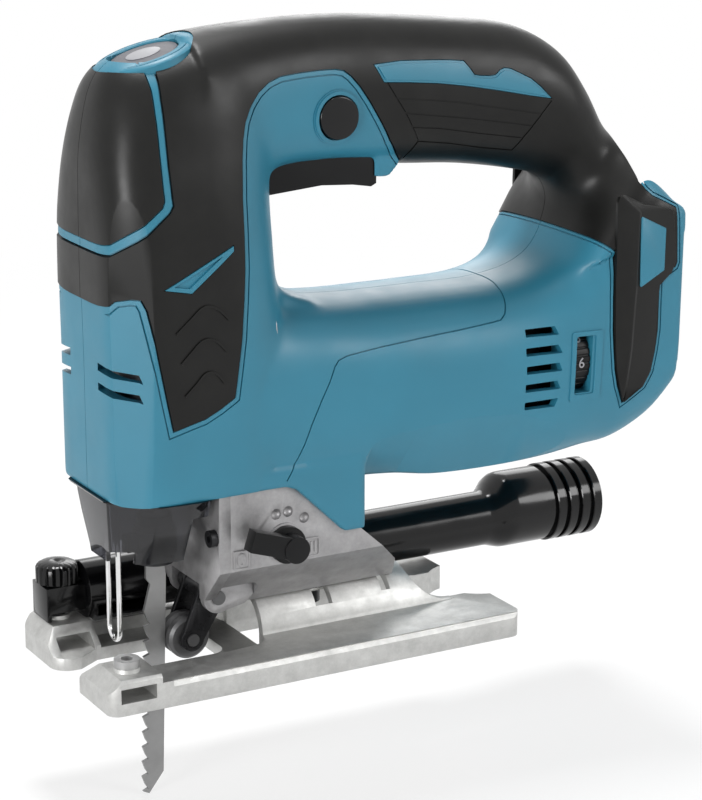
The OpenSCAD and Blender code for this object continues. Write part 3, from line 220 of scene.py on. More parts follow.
def turned(name, profile, place, up, steps):
    """A closed profile of (radius, height) spun about a line through the place."""
    side = up.orthogonal().normalized()
    piece = started(name, bpy.ops.mesh.primitive_circle_add, vertices=len(profile), radius=0.01)
    place_points(piece, [place + side * r + up * h for r, h in profile])
    edit_all(piece)
    bpy.ops.mesh.spin(steps=steps, angle=math.tau, center=place * MM, axis=up)
    bpy.ops.mesh.select_all(action="SELECT")
    bpy.ops.mesh.remove_doubles(threshold=MERGE)
    bpy.ops.mesh.dissolve_degenerate(threshold=MERGE)
    leave_edit()
    return outward(piece)


def rounded(points, radius, steps=4):
    """An outline with every corner turned into an arc."""
    out = []
    for i, p in enumerate(points):
        here = Vector(p)
        before = Vector(points[i - 1]) - here
        after = Vector(points[(i + 1) % len(points)]) - here
        back = min(radius / max(math.tan(before.angle(after) / 2), 0.001),
                   before.length * 0.45, after.length * 0.45)
        a = here + before.normalized() * back
        b = here + after.normalized() * back
        for k in range(steps + 1):
            t = k / steps
            out.append((1 - t) ** 2 * a + 2 * t * (1 - t) * here + t * t * b)
    return out


def flowing(points, steps=5):
    """An open line made smooth through all its points."""
    p = [Vector(q) for q in points]
    p = [p[0] * 2 - p[1]] + p + [p[-1] * 2 - p[-2]]
    out = []
    for i in range(1, len(p) - 2):
        for k in range(steps):
            t = k / steps
            out.append(0.5 * (2 * p[i] + (p[i + 1] - p[i - 1]) * t
                              + (2 * p[i - 1] - 5 * p[i] + 4 * p[i + 1] - p[i + 2]) * t * t
                              + (3 * p[i] - p[i - 1] - 3 * p[i + 1] + p[i + 2]) * t ** 3))
    return out + [p[-2]]


def moved_aside(points, distance, closed=True):
    """The line moved sideways, to its left for a positive distance."""
    out = []
    n = len(points)
    for i in range(n):
        here = Vector(points[i])
        a = Vector(points[i - 1]) if closed or i > 0 else here
        b = Vector(points[(i + 1) % n]) if closed or i < n - 1 else here
        d1 = (here - a).normalized() if (here - a).length > 0 else (b - here).normalized()
        d2 = (b - here).normalized() if (b - here).length > 0 else d1
        n1, n2 = Vector((-d1.y, d1.x)), Vector((-d2.y, d2.x))
        mid = n1 + n2
        mid = n1 if mid.length < 0.2 else mid.normalized()
        out.append(here + mid * distance / max(mid.dot(n1), 0.5))
    return out


def groove_wall(name, points, width, closed, low=-50, high=50):
    """A thin wall that stands along a line in (x, z), to cut a groove with."""
    left = moved_aside(points, width / 2, closed)
    right = moved_aside(points, -width / 2, closed)
    rings = [[(a.x, low, a.y), (b.x, low, b.y), (b.x, high, b.y), (a.x, high, a.y)]
             for a, b in zip(left, right)]
    return wrapped(name, rings, endless=closed)


def carve(piece, cutter, operation="DIFFERENCE", keep=False):
    """A boolean of the piece with the cutter, which is removed unless it is kept."""
    m = piece.modifiers.new("carve", "BOOLEAN")
    m.operation = operation
    m.solver = "MANIFOLD"
    m.object = cutter
    apply_modifiers(piece)
    if not keep:
        removed(cutter)
    return piece


def swollen(piece, name, distance):
    """A copy of the piece with its surface moved outwards, or inwards for a negative distance."""
    twin = copied(piece, name)
    offsets = [v.normal * distance * MM for v in twin.data.vertices]
    for vertex, offset in zip(twin.data.vertices, offsets):
        vertex.co += offset
    return twin


# ---------- body form ----------
# Sections of the body: lower or front end, upper or rear end, half width, squareness at each end
NOSE = [
    [(-69, 65.5), (-4, 65.5), 30.5, (5, 4)],
    [(-69, 84), (-4, 84), 31, (5, 4)],
    [(-69, 110), (-3, 110), 31.5, (5, 3.4)],
    [(-69.2, 130), (-5, 130), 31.5, (5, 3)],
    [(-69.2, 150), (-5.6, 150), 31.3, (4.6, 2.6)],
    [(-69, 165), (-5.4, 167), 30, (4, 2.4)],
    [(-68.6, 178), (-4.4, 182), 27.5, (3.4, 2.4)],
    [(-66.8, 190), (-3.4, 196), 24.9, (3, 2.2)],
    [(-64.4, 199), (-2, 207), 21, (2.8, 2.2)],
    [(-60.6, 205), (-2, 213), 15.5, (2.6, 2.2)],
    [(-55, 208.8), (-6, 216), 8.5, (2.4, 2.2)],
]
GRIP = [
    [(-34, 162), (-34, 214.2), 25, (3, 2.4)],
    [(-18, 164), (-18, 216.2), 21.5, (3, 2.4)],
    [(-2, 169), (-2, 217.2), 19.2, (3.4, 2.4)],
    [(16, 170), (16, 217.7), 18, (3.4, 2.3)],
    [(34, 168.4), (34, 217), 17.8, (3, 2.3)],
    [(47, 166.4), (47, 216), 18, (2.4, 2.3)],
    [(70, 164.6), (70, 213.8), 18, (2.4, 2.3)],
    [(92, 161), (92, 210.6), 18.5, (2.4, 2.3)],
    [(105.6, 157.4), (108.5, 202.4), 19.5, (2.4, 2.3)],
    [(109.8, 152.6), (118.2, 190.6), 19.5, (2, 2.4)],
    [(111, 148), (125.8, 177.4), 20, (1.9, 2.4)],
    [(110.6, 145), (129.2, 172), 22, (1.8, 2.8)],
    [(109.8, 141.6), (131.6, 167.4), 27, (1.8, 3.8)],
    [(105.6, 133), (135.5, 160.5), 34.6, (2, 5.4)],
    [(97, 122), (143.5, 150.5), 36.6, (2.6, 9)],
]
BARREL = [
    [(-30, 62), (-30, 126), 30.7, (3.4, 3)],
    [(0, 60), (0, 124.6), 30.7, (3.4, 3)],
    [(22, 60), (22, 123.2), 31.4, (3.2, 2.8)],
    [(38, 59), (38, 122.9), 32.2, (3.2, 2.8)],
    [(56, 56), (56, 122.8), 33, (3, 2.8)],
    [(80, 55.6), (80, 123), 34, (3, 3)],
    [(98, 57), (98, 127), 35.4, (3.2, 3.4)],
    [(112, 59.5), (112, 138), 36.4, (3.6, 4.4)],
    [(122.5, 61.8), (124, 150), 37, (4.4, 8)],
    [(134.6, 68.2), (136, 152.8), 37, (5, 14)],
    [(144.8, 82), (146.2, 147.6), 37, (8, 18)],
]
SKIRT = [(-32, 72), (-32, 65.5), (-9.5, 65.5), (-5.5, 64), (12.6, 46.6), (20.6, 46.6), (20.6, 72)]
OPENING_CORNER = [(-14, 116), (-14, 142), (-5.6, 141), (-5.4, 136), (-4.4, 132), (-2.2, 128.8),
                  (1.6, 126.6), (8, 125.4), (12, 116)]
# What hangs under the handle behind the trigger
TRIGGER_LIP = [(34, 172), (34, 163.6), (39.4, 163.2), (43.4, 167.4), (44.4, 172)]
# Places where one form runs softly into the next: x, half width, z, reach
SOFT_PLACES = [
    (-8, 10, 125, 26), (-8, 24, 125, 22), (-8, 10, 166, 20), (-16, 22, 168, 20), (-12, 16, 205, 22),
    (96, 8, 128, 22), (92, 24, 126, 20), (104, 20, 150, 22), (-20, 26, 190, 20), (-22, 29, 120, 14),
]
BODY_VOXEL = 1
ROOM_VOXEL = 1.9


def power(v, e):
    return math.copysign(abs(v) ** e, v) if v else 0.0


def section_ring(p, q, half_width, square, points):
    """A closed ring round the line from p to q in (x, z)."""
    p, q = Vector(p), Vector(q)
    ring = []
    for i in range(points):
        a = math.tau * (i + 0.5) / points
        e = 2 / (square[0] if math.cos(a) < 0 else square[1])
        along = (p + q) / 2 + (q - p) / 2 * power(math.cos(a), e)
        ring.append((along.x, half_width * power(math.sin(a), e), along.y))
    return ring


def lofted(name, sections, points=72):
    """A closed form that flows through its sections."""
    rows = flowing([(*s[0], *s[1], s[2], *s[3]) for s in sections], 6)
    return wrapped(name, [section_ring(v[0:2], v[2:4], v[4], v[5:7], points) for v in rows])


def soften(piece, places, times):
    """Smooths the surface near some places, most at their middles."""
    group = piece.vertex_groups.new(name="soft")
    for v in piece.data.vertices:
        weight = 0.0
        for x, y, z, reach in places:
            gap = Vector((v.co.x / MM - x, abs(v.co.y) / MM - y, v.co.z / MM - z)).length / reach
            weight = max(weight, min(1.0, 2.2 * (1 - gap)))
        if weight > 0:
            group.add([v.index], weight, "REPLACE")
    m = piece.modifiers.new("soften", "SMOOTH")
    m.factor = 0.9
    m.iterations = times
    m.vertex_group = "soft"
    apply_modifiers(piece)
    piece.vertex_groups.clear()


# Ends of the flat on the nose's corner, in (x, y)
CHEEK_FRONT = Vector((-69.6, 20.6))
CHEEK_REAR = Vector((-58.6, 30.9))


def cheek_cutter(side, drawn):
    """What is planed off one corner of the nose, from the gear case up to the cap."""
    out = (CHEEK_REAR - CHEEK_FRONT).normalized()
    inward = Vector((out.y, -out.x))
    a = CHEEK_FRONT + inward * drawn - out * 12
    b = CHEEK_REAR + inward * drawn + out * 12
    corners = [(v.x, v.y * side) for v in (a, b, b - inward * 14, a - inward * 14)]
    return plate("cheek_cut", corners, 40, 176, "Z")


FLANK_LEAN = math.radians(31)
# How far the flank's edge comes in for each millimetre that it is drawn in square to its face
FLANK_SHIFT = 1.17
# Where the side of the barrel breaks to its flat lower flank: x, z, half width there
FLANK_LINE = [
    (20.5, 74.5, 31.2), (22.5, 77.6, 31.5), (26, 79.2, 31.8), (33, 80.2, 32.3), (48, 81.5, 33.1),
    (64, 81.8, 33.7), (80, 80.8, 34.4), (90, 77.6, 34.8), (101, 73, 35), (112, 68, 35), (124, 60, 35),
]


def flank_cutter(side, drawn=0):
    """What is planed off the lower flank of the barrel."""
    rings = []
    for x, z, y in FLANK_LINE:
        y -= FLANK_SHIFT * drawn
        down = Vector((-math.sin(FLANK_LEAN), -math.cos(FLANK_LEAN)))
        top = Vector((y, z)) - down * 5
        low = Vector((y, z)) + down * 42
        corners = (top, low, low + Vector((34, 0)), top + Vector((14, 0)))
        rings.append([(x, p.x * side, p.y) for p in corners])
    return wrapped("flank_cut", rings)


def one_skin(piece, voxel):
    """Forms that overlap turned into one closed skin."""
    m = piece.modifiers.new("one_skin", "REMESH")
    m.mode = "VOXEL"
    m.voxel_size = voxel * MM


def body_form():
    body = joined("body", [
        lofted("nose", NOSE), lofted("grip", GRIP), lofted("barrel", BARREL),
        plate("skirt", SKIRT, -29.9, 29.9), plate("corner", OPENING_CORNER, -15, 15),
        plate("trigger_lip", TRIGGER_LIP, -11.4, 11.4),
    ])
    one_skin(body, BODY_VOXEL)
    m = body.modifiers.new("settle", "SMOOTH")
    m.factor = 0.5
    m.iterations = 4
    apply_modifiers(body)
    soften(body, SOFT_PLACES, 50)
    for side in (-1, 1):
        carve(body, cheek_cutter(side, 0.8))
        carve(body, flank_cutter(side))
    return body


# ---------- lines on the body, in (x, z) ----------
# Rubber over the nose panel, cap, crown, handle, neck and shoe
FRONT_EDGE = [
    (-70.3, 130.1), (-69.4, 131.6), (-67.2, 134.1), (-63.4, 135), (-60.6, 134.9), (-59.2, 131.6),
    (-57.8, 124), (-56, 114), (-53.4, 100.4), (-51.5, 91.2), (-45.8, 92.7), (-40.4, 94), (-35, 96.6),
    (-29.7, 99.8), (-28.4, 108.9), (-27, 118.7), (-25.9, 131.7), (-25.3, 141.5), (-25.2, 151.2),
    (-25, 164), (-24, 176.5), (-23, 182.7), (-21.4, 188.2), (-18.4, 192.9), (-14.7, 196.9),
    (-10.6, 199.7), (-5.8, 201.3), (1.9, 201.9), (9.5, 202.2), (15.3, 202.1), (18.6, 201.4),
    (21.3, 199.4), (24.5, 195.9), (28.3, 190.6), (32.3, 184.3), (37.2, 176.6), (43.9, 168.5),
]
REAR_EDGE = [
    (90, 137.8), (99.8, 137.8), (104, 139.2), (108.6, 140), (111.8, 138), (116.4, 134.4), (115.9, 118),
    (116.1, 106.4), (116.7, 99), (117.4, 91.8), (118.7, 85.8), (121.2, 79.4), (129.5, 84.4),
    (132.2, 89.3), (133.7, 97), (134.6, 104.3), (134.6, 115.1), (134.7, 122.7), (136.8, 124.3),
    (141.5, 126.7), (142.1, 128.1), (141.6, 139.6), (141.3, 147.5), (136.9, 149.8), (131.5, 152.4),
    (129.3, 154.6), (127.9, 157.3), (128.2, 160.4), (129, 163.1), (129.3, 165.6), (128.3, 167.4),
]
RUBBER = [(-80, 130)] + FRONT_EDGE + [(50, 158), (80, 140)] + REAR_EDGE + [
    (132, 174), (146, 200), (160, 240), (-80, 240),
]
CHEVRON = [
    (-80, 148), (-70.2, 148), (-68.9, 148.3), (-66.7, 149.8), (-61.2, 153.8), (-54.6, 159.6),
    (-51.1, 162.5), (-49.9, 164.5), (-50.1, 167.5), (-50.3, 175.8), (-50.2, 188), (-49.9, 197),
    (-49, 206), (-49, 222), (-52, 222), (-52, 202.3), (-51.9, 200), (-52.3, 192.6), (-52.5, 180.5),
    (-52.6, 171.3), (-52.5, 166), (-53.4, 163.9), (-56.1, 161.7), (-61, 157.5), (-66.5, 153.3),
    (-68.9, 151.4), (-70, 150.9), (-80, 151),
]
INLAY = [
    (30.2, 202.4), (40.4, 203), (52.1, 202.5), (60, 202), (65.1, 201.4), (67, 199.2), (68.9, 196.6),
    (71.3, 196.1), (75.3, 195.8), (77.3, 196), (79.3, 197.5), (81, 198.1), (83.5, 197.7), (87.4, 195.9),
    (91.6, 193.8), (95.4, 190.8), (99.4, 186.8), (91.1, 188.3), (79, 190.8), (67.1, 193), (55.3, 194.8),
    (43.6, 195.9), (33.6, 196.6),
]
TRIANGLE = [(-29.6, 149.9), (-29.6, 148.3), (-44.8, 136.2), (-54, 138)]
TRIANGLE_HOLLOW = [(-33.4, 147.2), (-45.4, 137.8), (-51, 138.7)]
RIDGES = [
    [(-50.4, 123.4), (-45.3, 127.7), (-41.8, 130.7), (-39.2, 131.4),
     (-36.4, 130.5), (-33.9, 128.6), (-31.8, 126.2)],
    [(-48.8, 113.4), (-44.8, 117.3), (-41.9, 119.9), (-39.3, 120.6),
     (-36.6, 119.7), (-34.5, 117.9), (-32.8, 116)],
    [(-47.5, 102.5), (-43.5, 106.2), (-41, 108.8), (-38.8, 109.6),
     (-36.4, 108.7), (-34.6, 106.8), (-33.6, 105.4)],
]
# Lines moulded in the grip
GRIP_LINES = [
    [(38.2, 190.9), (51.3, 189.4), (63.2, 187.8), (79.2, 184.7), (91.2, 182.5), (95.6, 181.7), (99.4, 186)],
    [(41.8, 185.7), (51.5, 184.3), (67.5, 182), (83.6, 179.3), (92.4, 177.7), (95.6, 181.5)],
    [(44.9, 180.6), (56, 179.4), (72.2, 176.4), (89.3, 173.6), (92.4, 177.5)],
    [(48.2, 175.4), (61.2, 173.6), (73.7, 171.1), (86.4, 169.2), (89.3, 173.4)],
]
GRIP_EDGE = [(34.6, 196.4)] + [line[0] for line in GRIP_LINES] + [(46, 171), (43.4, 165)]
# Edge of the raised ring that runs round the hand opening, on the barrel
BARREL_LINE = [
    (104, 153), (105.4, 149), (104.2, 145.6), (101.6, 140.9), (99.3, 136.7), (95.7, 131.2),
    (90.6, 126.4), (86.6, 124.4), (82, 123.4), (80.6, 121.8), (78.6, 117.8), (76.6, 114.8),
    (74.2, 113.1), (70, 112.6), (57.7, 111.6), (41.7, 110.6), (26.1, 109.4), (13.4, 108.1), (9.9, 107),
    (8.2, 105), (6.1, 100.3), (3, 94.5), (-0.8, 86.4), (-3.4, 79.7), (-5.9, 74.3), (-8.8, 69.6),
    (-9.9, 67.9),
]


# ---------- materials ----------
def add_node(tree, kind, inputs=None, **settings):
    """A new shader node; each of its inputs takes a value or the output of another node."""
    new = tree.nodes.new("ShaderNode" + kind)
    for setting, value in settings.items():
        setattr(new, setting, value)
    for socket, value in (inputs or {}).items():
        if isinstance(value, bpy.types.NodeSocket):
            tree.links.new(value, new.inputs[socket])
        else:
            new.inputs[socket].default_value = value
    return new


def shader(name):
    """A new material with its principled shader, joined to its output."""
    material = bpy.data.materials.new(name)
    material.use_nodes = True
    tree = material.node_tree
    tree.nodes.clear()
    surface = add_node(tree, "BsdfPrincipled")
    add_node(tree, "OutputMaterial", {"Surface": surface.outputs[0]})
    return material, tree, surface


def noise(tree, scale, detail=4, rough=0.5, stretch=(1, 1, 1)):
    place = add_node(tree, "TexCoord")
    mapping = add_node(tree, "Mapping", {"Vector": place.outputs["Object"], "Scale": stretch})
    texture = add_node(tree, "TexNoise", {"Vector": mapping.outputs[0], "Scale": scale, "Detail": detail,
                                      "Roughness": rough})
    return texture.outputs["Fac"]


def ramp(tree, source, stops):
    """Colours along the source, from (position, colour) stops."""
    new = add_node(tree, "ValToRGB", {"Fac": source})
    first, last = new.color_ramp.elements
    first.position, first.color = stops[0][0], (*stops[0][1], 1)
    last.position, last.color = stops[-1][0], (*stops[-1][1], 1)
    for position, colour in stops[1:-1]:
        new.color_ramp.elements.new(position).color = (*colour, 1)
    return new.outputs["Color"]


def spread(tree, source, low, high, start=0.3, end=0.7):
    """The source's range from start to end, turned into low to high."""
    return add_node(tree, "MapRange", {"Value": source, "From Min": start, "From Max": end,
                                   "To Min": low, "To Max": high}).outputs["Result"]


def bumps(tree, surface, layers):
    """Stacks bump layers of (height source, strength, depth in mm) on the shader's normal."""
    inputs = {}
    for source, strength, depth in layers:
        inputs.update({"Height": source, "Strength": strength, "Distance": depth * MM})
        inputs["Normal"] = add_node(tree, "Bump", inputs).outputs["Normal"]
    tree.links.new(inputs["Normal"], surface.inputs["Normal"])


def srgb(r, g, b):
    return tuple(((c / 255 + 0.055) / 1.055) ** 2.4 if c > 10 else c / 255 / 12.92 for c in (r, g, b))


def mixed(colour, factor):
    return tuple(min(1.0, c * factor) for c in colour)


def finished(name, colour_noise, stops, sheen_noise, rough, layers, even):
    """A material with clouds in its colour and its sheen, layers of bumps, and what is even all over."""
    material, tree, surface = shader(name)
    link = tree.links.new
    link(ramp(tree, noise(tree, *colour_noise), stops), surface.inputs["Base Color"])
    link(spread(tree, noise(tree, *sheen_noise), *rough), surface.inputs["Roughness"])
    for socket, value in even.items():
        surface.inputs[socket].default_value = value
    bumps(tree, surface, [(noise(tree, *source), strength, depth) for source, strength, depth in layers])
    return material


def moulded(name, colour, rough=(0.38, 0.46), cloud=0.05, grain=2600, grain_strength=0.12, grain_depth=0.02,
            shine=0.5):
    """Moulded plastic: a fine spark-eroded grain, with slight clouds in colour and sheen."""
    return finished(name, (38, 3), [(0.3, mixed(colour, 1 - cloud)), (0.7, mixed(colour, 1 + cloud))],
                    (90, 4), rough, [((160, 2), 0.1, 0.05), ((grain, 2, 0.6), grain_strength, grain_depth)],
                    {"Specular IOR Level": shine})


def rubber(name, colour, rough, shine):
    """Soft grip rubber: dull with cloudy patches where the mould polished it."""
    return finished(name, (70, 5, 0.62),
                    [(0.34, mixed(colour, 0.78)), (0.5, colour), (0.68, mixed(colour, 1.32))],
                    (55, 5, 0.6), rough, [((110, 3), 0.16, 0.09), ((3200, 2, 0.6), 0.3, 0.03)],
                    {"Specular IOR Level": shine})


def cast_metal(name, colour, rough=(0.42, 0.58), grain=900, depth=0.05):
    """Shot-blasted casting: fine pits, dull patches and a little tarnish."""
    return finished(name, (140, 9, 0.78), [(0.3, mixed(colour, 0.8)), (0.72, mixed(colour, 1.16))],
                    (240, 4), rough, [((grain, 3, 0.7), 0.55, depth), ((130, 3), 0.15, 0.08)],
                    {"Metallic": 0.85})


def turned_metal(name, colour, rough=(0.2, 0.34), stretch=(1, 1, 14), scale=420, metallic=1.0):
    """Machined or rolled steel with fine tool lines one way."""
    lines = (scale, 3, 0.6, stretch)
    return finished(name, (90, 3), [(0.3, mixed(colour, 0.88)), (0.7, mixed(colour, 1.06))],
                    lines, rough, [(lines, 0.12, 0.02)], {"Metallic": metallic})


def smoked(name, dark, light):
    """Clear moulding with a grey tint, and flow marks that bend what is seen through it."""
    return finished(name, (50, 3), [(0.3, dark), (0.7, light)], (70, 3), (0.02, 0.07),
                    [((60, 2), 0.12, 0.2)], {"Transmission Weight": 0.92, "IOR": 1.5})


BLUE = srgb(42, 118, 142)
blue_plastic = moulded("blue_shell_plastic", BLUE)
black_rubber = rubber("black_grip_rubber", srgb(18, 18, 17), (0.3, 0.44), 0.24)
black_plastic = moulded("black_plastic", srgb(17, 17, 18), (0.3, 0.4), shine=0.2)
gloss_black = moulded("gloss_black_plastic", srgb(7, 7, 8), (0.1, 0.2), 0.1, 1200, 0.05, 0.01, 0.34)
cast_alloy = cast_metal("cast_alloy", srgb(162, 161, 162))
plate_alloy = cast_metal("sole_alloy", srgb(192, 192, 190), (0.42, 0.56), 1100, 0.04)
bright_steel = turned_metal("bright_steel", srgb(205, 205, 203))
blade_steel = turned_metal("blade_steel", srgb(150, 150, 150), (0.3, 0.45), (1, 1, 6), 600, 0.8)
black_steel = turned_metal("black_steel", srgb(40, 40, 42), (0.25, 0.42), (1, 1, 3), 500, 0.6)
satin_steel = turned_metal("satin_steel", srgb(96, 96, 97), (0.42, 0.54), (1, 1, 3), 260, 0.75)
matte_steel = turned_metal("matte_steel", srgb(168, 168, 168), (0.4, 0.52), (1, 1, 3), 260, 0.8)
chrome = turned_metal("chrome_wire", srgb(225, 225, 225), (0.06, 0.14), (1, 1, 2), 300)
clear_cover = smoked("smoked_cover", srgb(64, 65, 71), srgb(88, 89, 96))
grey_button = moulded("grey_button_plastic", srgb(78, 78, 84), (0.4, 0.5))
pale_plastic = moulded("pale_button_plastic", srgb(150, 150, 154), (0.4, 0.5))
copper = turned_metal("copper_wire", srgb(190, 110, 70), (0.25, 0.4), (6, 1, 1))
board_green = moulded("circuit_board", srgb(30, 80, 50), (0.35, 0.5))
brass = turned_metal("brass", srgb(200, 170, 100), (0.2, 0.35))
# What each node of the frame is made of, also where a finer piece stands for it
NODE_FINISH = (
    (plate_alloy, "base_plate"),
    (bright_steel, "base_clamp_plate gear_shaft drive_gear crank_roller plunger_rod yoke orbit_cam "
     "rotor pinion bearing_front bearing_rear trigger_spring"),
    (black_steel, "base_clamp_bolt case_screws blade_clamp retainer_arm stator housing_screws"),
    (matte_steel, "fence_screw"),
    (gloss_black, "dust_nozzle nozzle_screw lock_button"),
    (cast_alloy, "gear_case case_cover"),
    (brass, "rod_guides terminal_blades"),
    (blade_steel, "blade"),
    (satin_steel, "retainer_pin roller roller_pin"),
    (chrome, "finger_guard"),
    (clear_cover, "chip_cover lamp_lens"),
    (black_plastic, "orbit_lever fan controller speed_dial terminal_block trigger switch_body"),
    (copper, "windings"),
    (board_green, "dial_board power_board"),
    (blue_plastic, "housing_left housing_right"),
    (black_rubber, "grip_left grip_right bumper_left bumper_right"),
    (grey_button, "power_button"),
)


def made_of(piece, material):
    piece.data.materials.clear()
    piece.data.materials.append(material)


for finish, nodes in NODE_FINISH:
    for word in nodes.split():
        made_of(bpy.data.objects[word], finish)


def dressed(piece, body, material, *nodes, angle=SMOOTH_ANGLE):
    """The last steps of a piece: its material, smooth faces, its body and what it stands for."""
    made_of(piece, material)
    select(piece)
    bpy.ops.object.shade_smooth_by_angle(angle=math.radians(angle))
    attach(piece, body)
    if nodes:
        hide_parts(*nodes)


# ---------- body pieces ----------
POWER_PLACE = Vector((-45.5, 0, 208.6))
LOCK_AXIS = (16, 186)
POWER_LEAN = math.radians(17)
POWER_UP = Vector((-math.sin(POWER_LEAN), 0, math.cos(POWER_LEAN)))
NOSE_WALL = 4
BARREL_WALL = 3.2
GROOVE_DEPTH = 0.65
RUBBER_PROUD = 0.45
RUBBER_SEAT = -1.1
RUBBER_GROOVE_FLOOR = 0.12
LOCK_HOLE = 7.5
SCREW_WELLS = ((-62.5, 100), (-20, 152), (8, 117), (66, 63.6), (112, 130), (44, 190), (99, 182), (111, 74))
# Slots down each side: front end, rear end at the top and at the foot, height of the top and of the foot
SIDE_VENTS = (
    (82.2, 93.5, 94.9, 109.7, 106.7), (81.8, 94.3, 96.1, 103.3, 100.2), (81.9, 94.7, 96.1, 96.9, 93.8),
    (81.5, 94, 95.5, 90.5, 87.4), (81.3, 94.6, 93.2, 84.1, 81.1),
)
CHEEK_VENT_HEIGHTS = (108.9, 102.3)


def rod(name, low, high, radius, vertices=48):
    """A straight rod between two points in millimetres, for a hole or a pin."""
    low, high = Vector(low), Vector(high)
    piece = started(name, bpy.ops.mesh.primitive_cylinder_add, vertices=vertices, radius=radius * MM,
                    depth=(high - low).length * MM)
    turn = (high - low).to_track_quat("Z", "Y").to_matrix().to_4x4()
    piece.data.transform(Matrix.Translation((low + high) / 2 * MM) @ turn)
    return piece


def hollow_form():
    """The room inside the shell, from the same sections drawn in by the wall."""
    parts = []
    for name, rows, skin in (
        ("nose_room", [s for s in NOSE if 70 < s[0][1] < 192], NOSE_WALL),
        ("barrel_room", [s for s in BARREL if 10 < s[0][0] < 100], BARREL_WALL),
        ("grip_room", [s for s in GRIP if s[0][1] > 156], NOSE_WALL),
    ):
        drawn_in = []
        for p, q, half, square in rows:
            step = (Vector(q) - Vector(p)).normalized() * skin
            drawn_in.append([Vector(p) + step, Vector(q) - step, half - skin, square])
        parts.append(lofted(name, drawn_in, 40))
    mouth = [(-66.5, -18), (-57.6, -27.4), (-12, -27.4), (-12, 27.4), (-57.6, 27.4), (-66.5, 18)]
    parts.append(plate("nose_mouth", mouth, 40, 97, "Z"))
    parts.append(box("board_room", (90, -22, 76), (124, 22, 120)))
    room = joined("room", parts)
    one_skin(room, ROOM_VOXEL)
    apply_modifiers(room)
    for side in (-1, 1):
        carve(room, cheek_cutter(side, 3.6))
        carve(room, flank_cutter(side, 3))
    return room


def lock_bore(radius, reach):
    x, z = LOCK_AXIS
    return rod("lock_hole", (x, -reach, z), (x, reach, z), radius)


def opening_cutters():
    """What is cut through both the shell and its rubber."""
    cutters = [
        box("trigger_mouth", (-9.9, -10.8, 150), (35.6, 10.8, 180)),
        rod("power_well", POWER_PLACE - POWER_UP * 9, POWER_PLACE + POWER_UP * 20, 11.9, 64),
        box("battery_recess", (128, -32.6, 80), (151, 32.6, 175)),
        box("case_room", (-34, -27.3, 40), (21, 27.3, 75)),
        plate("dial_window", rounded([(99.6, 85), (107.3, 85), (107.9, 105.7), (100.4, 105.7)], 0.8),
              -45, -20),
    ]
    return cutters + [rod("screw_well", (x, 9, z), (x, 45, z), 3.3, 24) for x, z in SCREW_WELLS]


def groove(piece, floor, points, width, closed=False):
    """Cuts a groove along a line, down to the floor, which is the same form drawn in a little."""
    wall = groove_wall("groove", points, width, closed)
    carve(wall, floor, keep=True)
    carve(piece, wall)


def side_vents():
    """Slots down each side, with slanted rear ends."""
    slots = []
    for front, rear_top, rear_low, top, low in SIDE_VENTS:
        outline = rounded([(front, low), (rear_low, low), (rear_top, top), (front, top - 0.3)], 0.4, 3)
        for side in (-1, 1):
            slots.append(plate("vent", outline, *sorted((side * 24, side * 45))))
    return slots


def cheek_vents():
    """Two slots in each cheek of the nose, which fall and narrow to the rear."""
    slots = []
    across = (CHEEK_REAR - CHEEK_FRONT).normalized()
    inward = Vector((across.y, -across.x)) * 9
    start, end = Vector((-72.5, 15)), Vector((-61.3, 28.6))
    rows = ((start, 0.4, 3), (start + (end - start) * 0.93, -1.2, 1.3), (end, -1.7, -1.3))
    for z in CHEEK_VENT_HEIGHTS:
        for side in (-1, 1):
            rings = []
            for p, low, high in rows:
                a, b = p - inward * 0.2, p + inward
                corners = ((a, low), (b, low), (b, high), (a, high))
                rings.append([(q.x, q.y * side, z + h) for q, h in corners])
            slots.append(wrapped("cheek_vent", rings))
    return slots


def seam_wall(half_width):
    return box("seam", (-90, -half_width, 30), (170, half_width, 240))


def build_shell():
    """The hard shell, the rubber over it, and the plain form that both come from."""
    shell = body_form()
    base = copied(shell, "base")
    groove_floor = swollen(shell, "groove_floor", -GROOVE_DEPTH)
    skin = swollen(shell, "rubber_skin", RUBBER_PROUD)
    skin_floor = swollen(shell, "skin_floor", RUBBER_SEAT)
    rubber_groove_floor = swollen(shell, "rubber_groove_floor", RUBBER_GROOVE_FLOOR)
    # Edge lines of the blue shell
    for line, gap in ((FRONT_EDGE, 1.95), (REAR_EDGE, 1.4)):
        groove(shell, groove_floor, moved_aside(line, -gap, False), 0.5)
        groove(shell, groove_floor, moved_aside(line, -0.1, False), 0.6)
    for outline, out in ((CHEVRON, -0.15), (INLAY, 0.15), (TRIANGLE, 0.15)):
        groove(shell, groove_floor, moved_aside(outline, out), 0.7, True)
    groove(shell, groove_floor, BARREL_LINE, 0.45)
    carve(shell, carve(seam_wall(0.13), groove_floor, keep=True))
    # Rubber over it
    region = plate("region", RUBBER, -THROUGH, THROUGH)
    carve(region, plate("chevron", moved_aside(CHEVRON, -0.35), -70, 70))
    carve(region, plate("inlay", moved_aside(INLAY, 0.3), -70, 70))
    carve(region, plate("triangle", moved_aside(TRIANGLE, 0.3), -70, 70))
    carve(region, rod("button_seat", POWER_PLACE - POWER_UP * 18, POWER_PLACE + POWER_UP * 25, 17, 72))
    carve(skin, region, "INTERSECT")
    carve(skin, skin_floor)
    for line in GRIP_LINES + [GRIP_EDGE]:
        groove(skin, rubber_groove_floor, line, 0.55)
    carve(skin, seam_wall(0.12))
    # Room and openings
    carve(shell, hollow_form())
    for cutter in (joined("openings", opening_cutters()), lock_bore(LOCK_HOLE, 40)):
        carve(skin, cutter, keep=True)
        carve(shell, cutter)
    carve(shell, joined("vents", side_vents() + cheek_vents()))
    removed(groove_floor)
    removed(rubber_groove_floor)
    return shell, skin, base


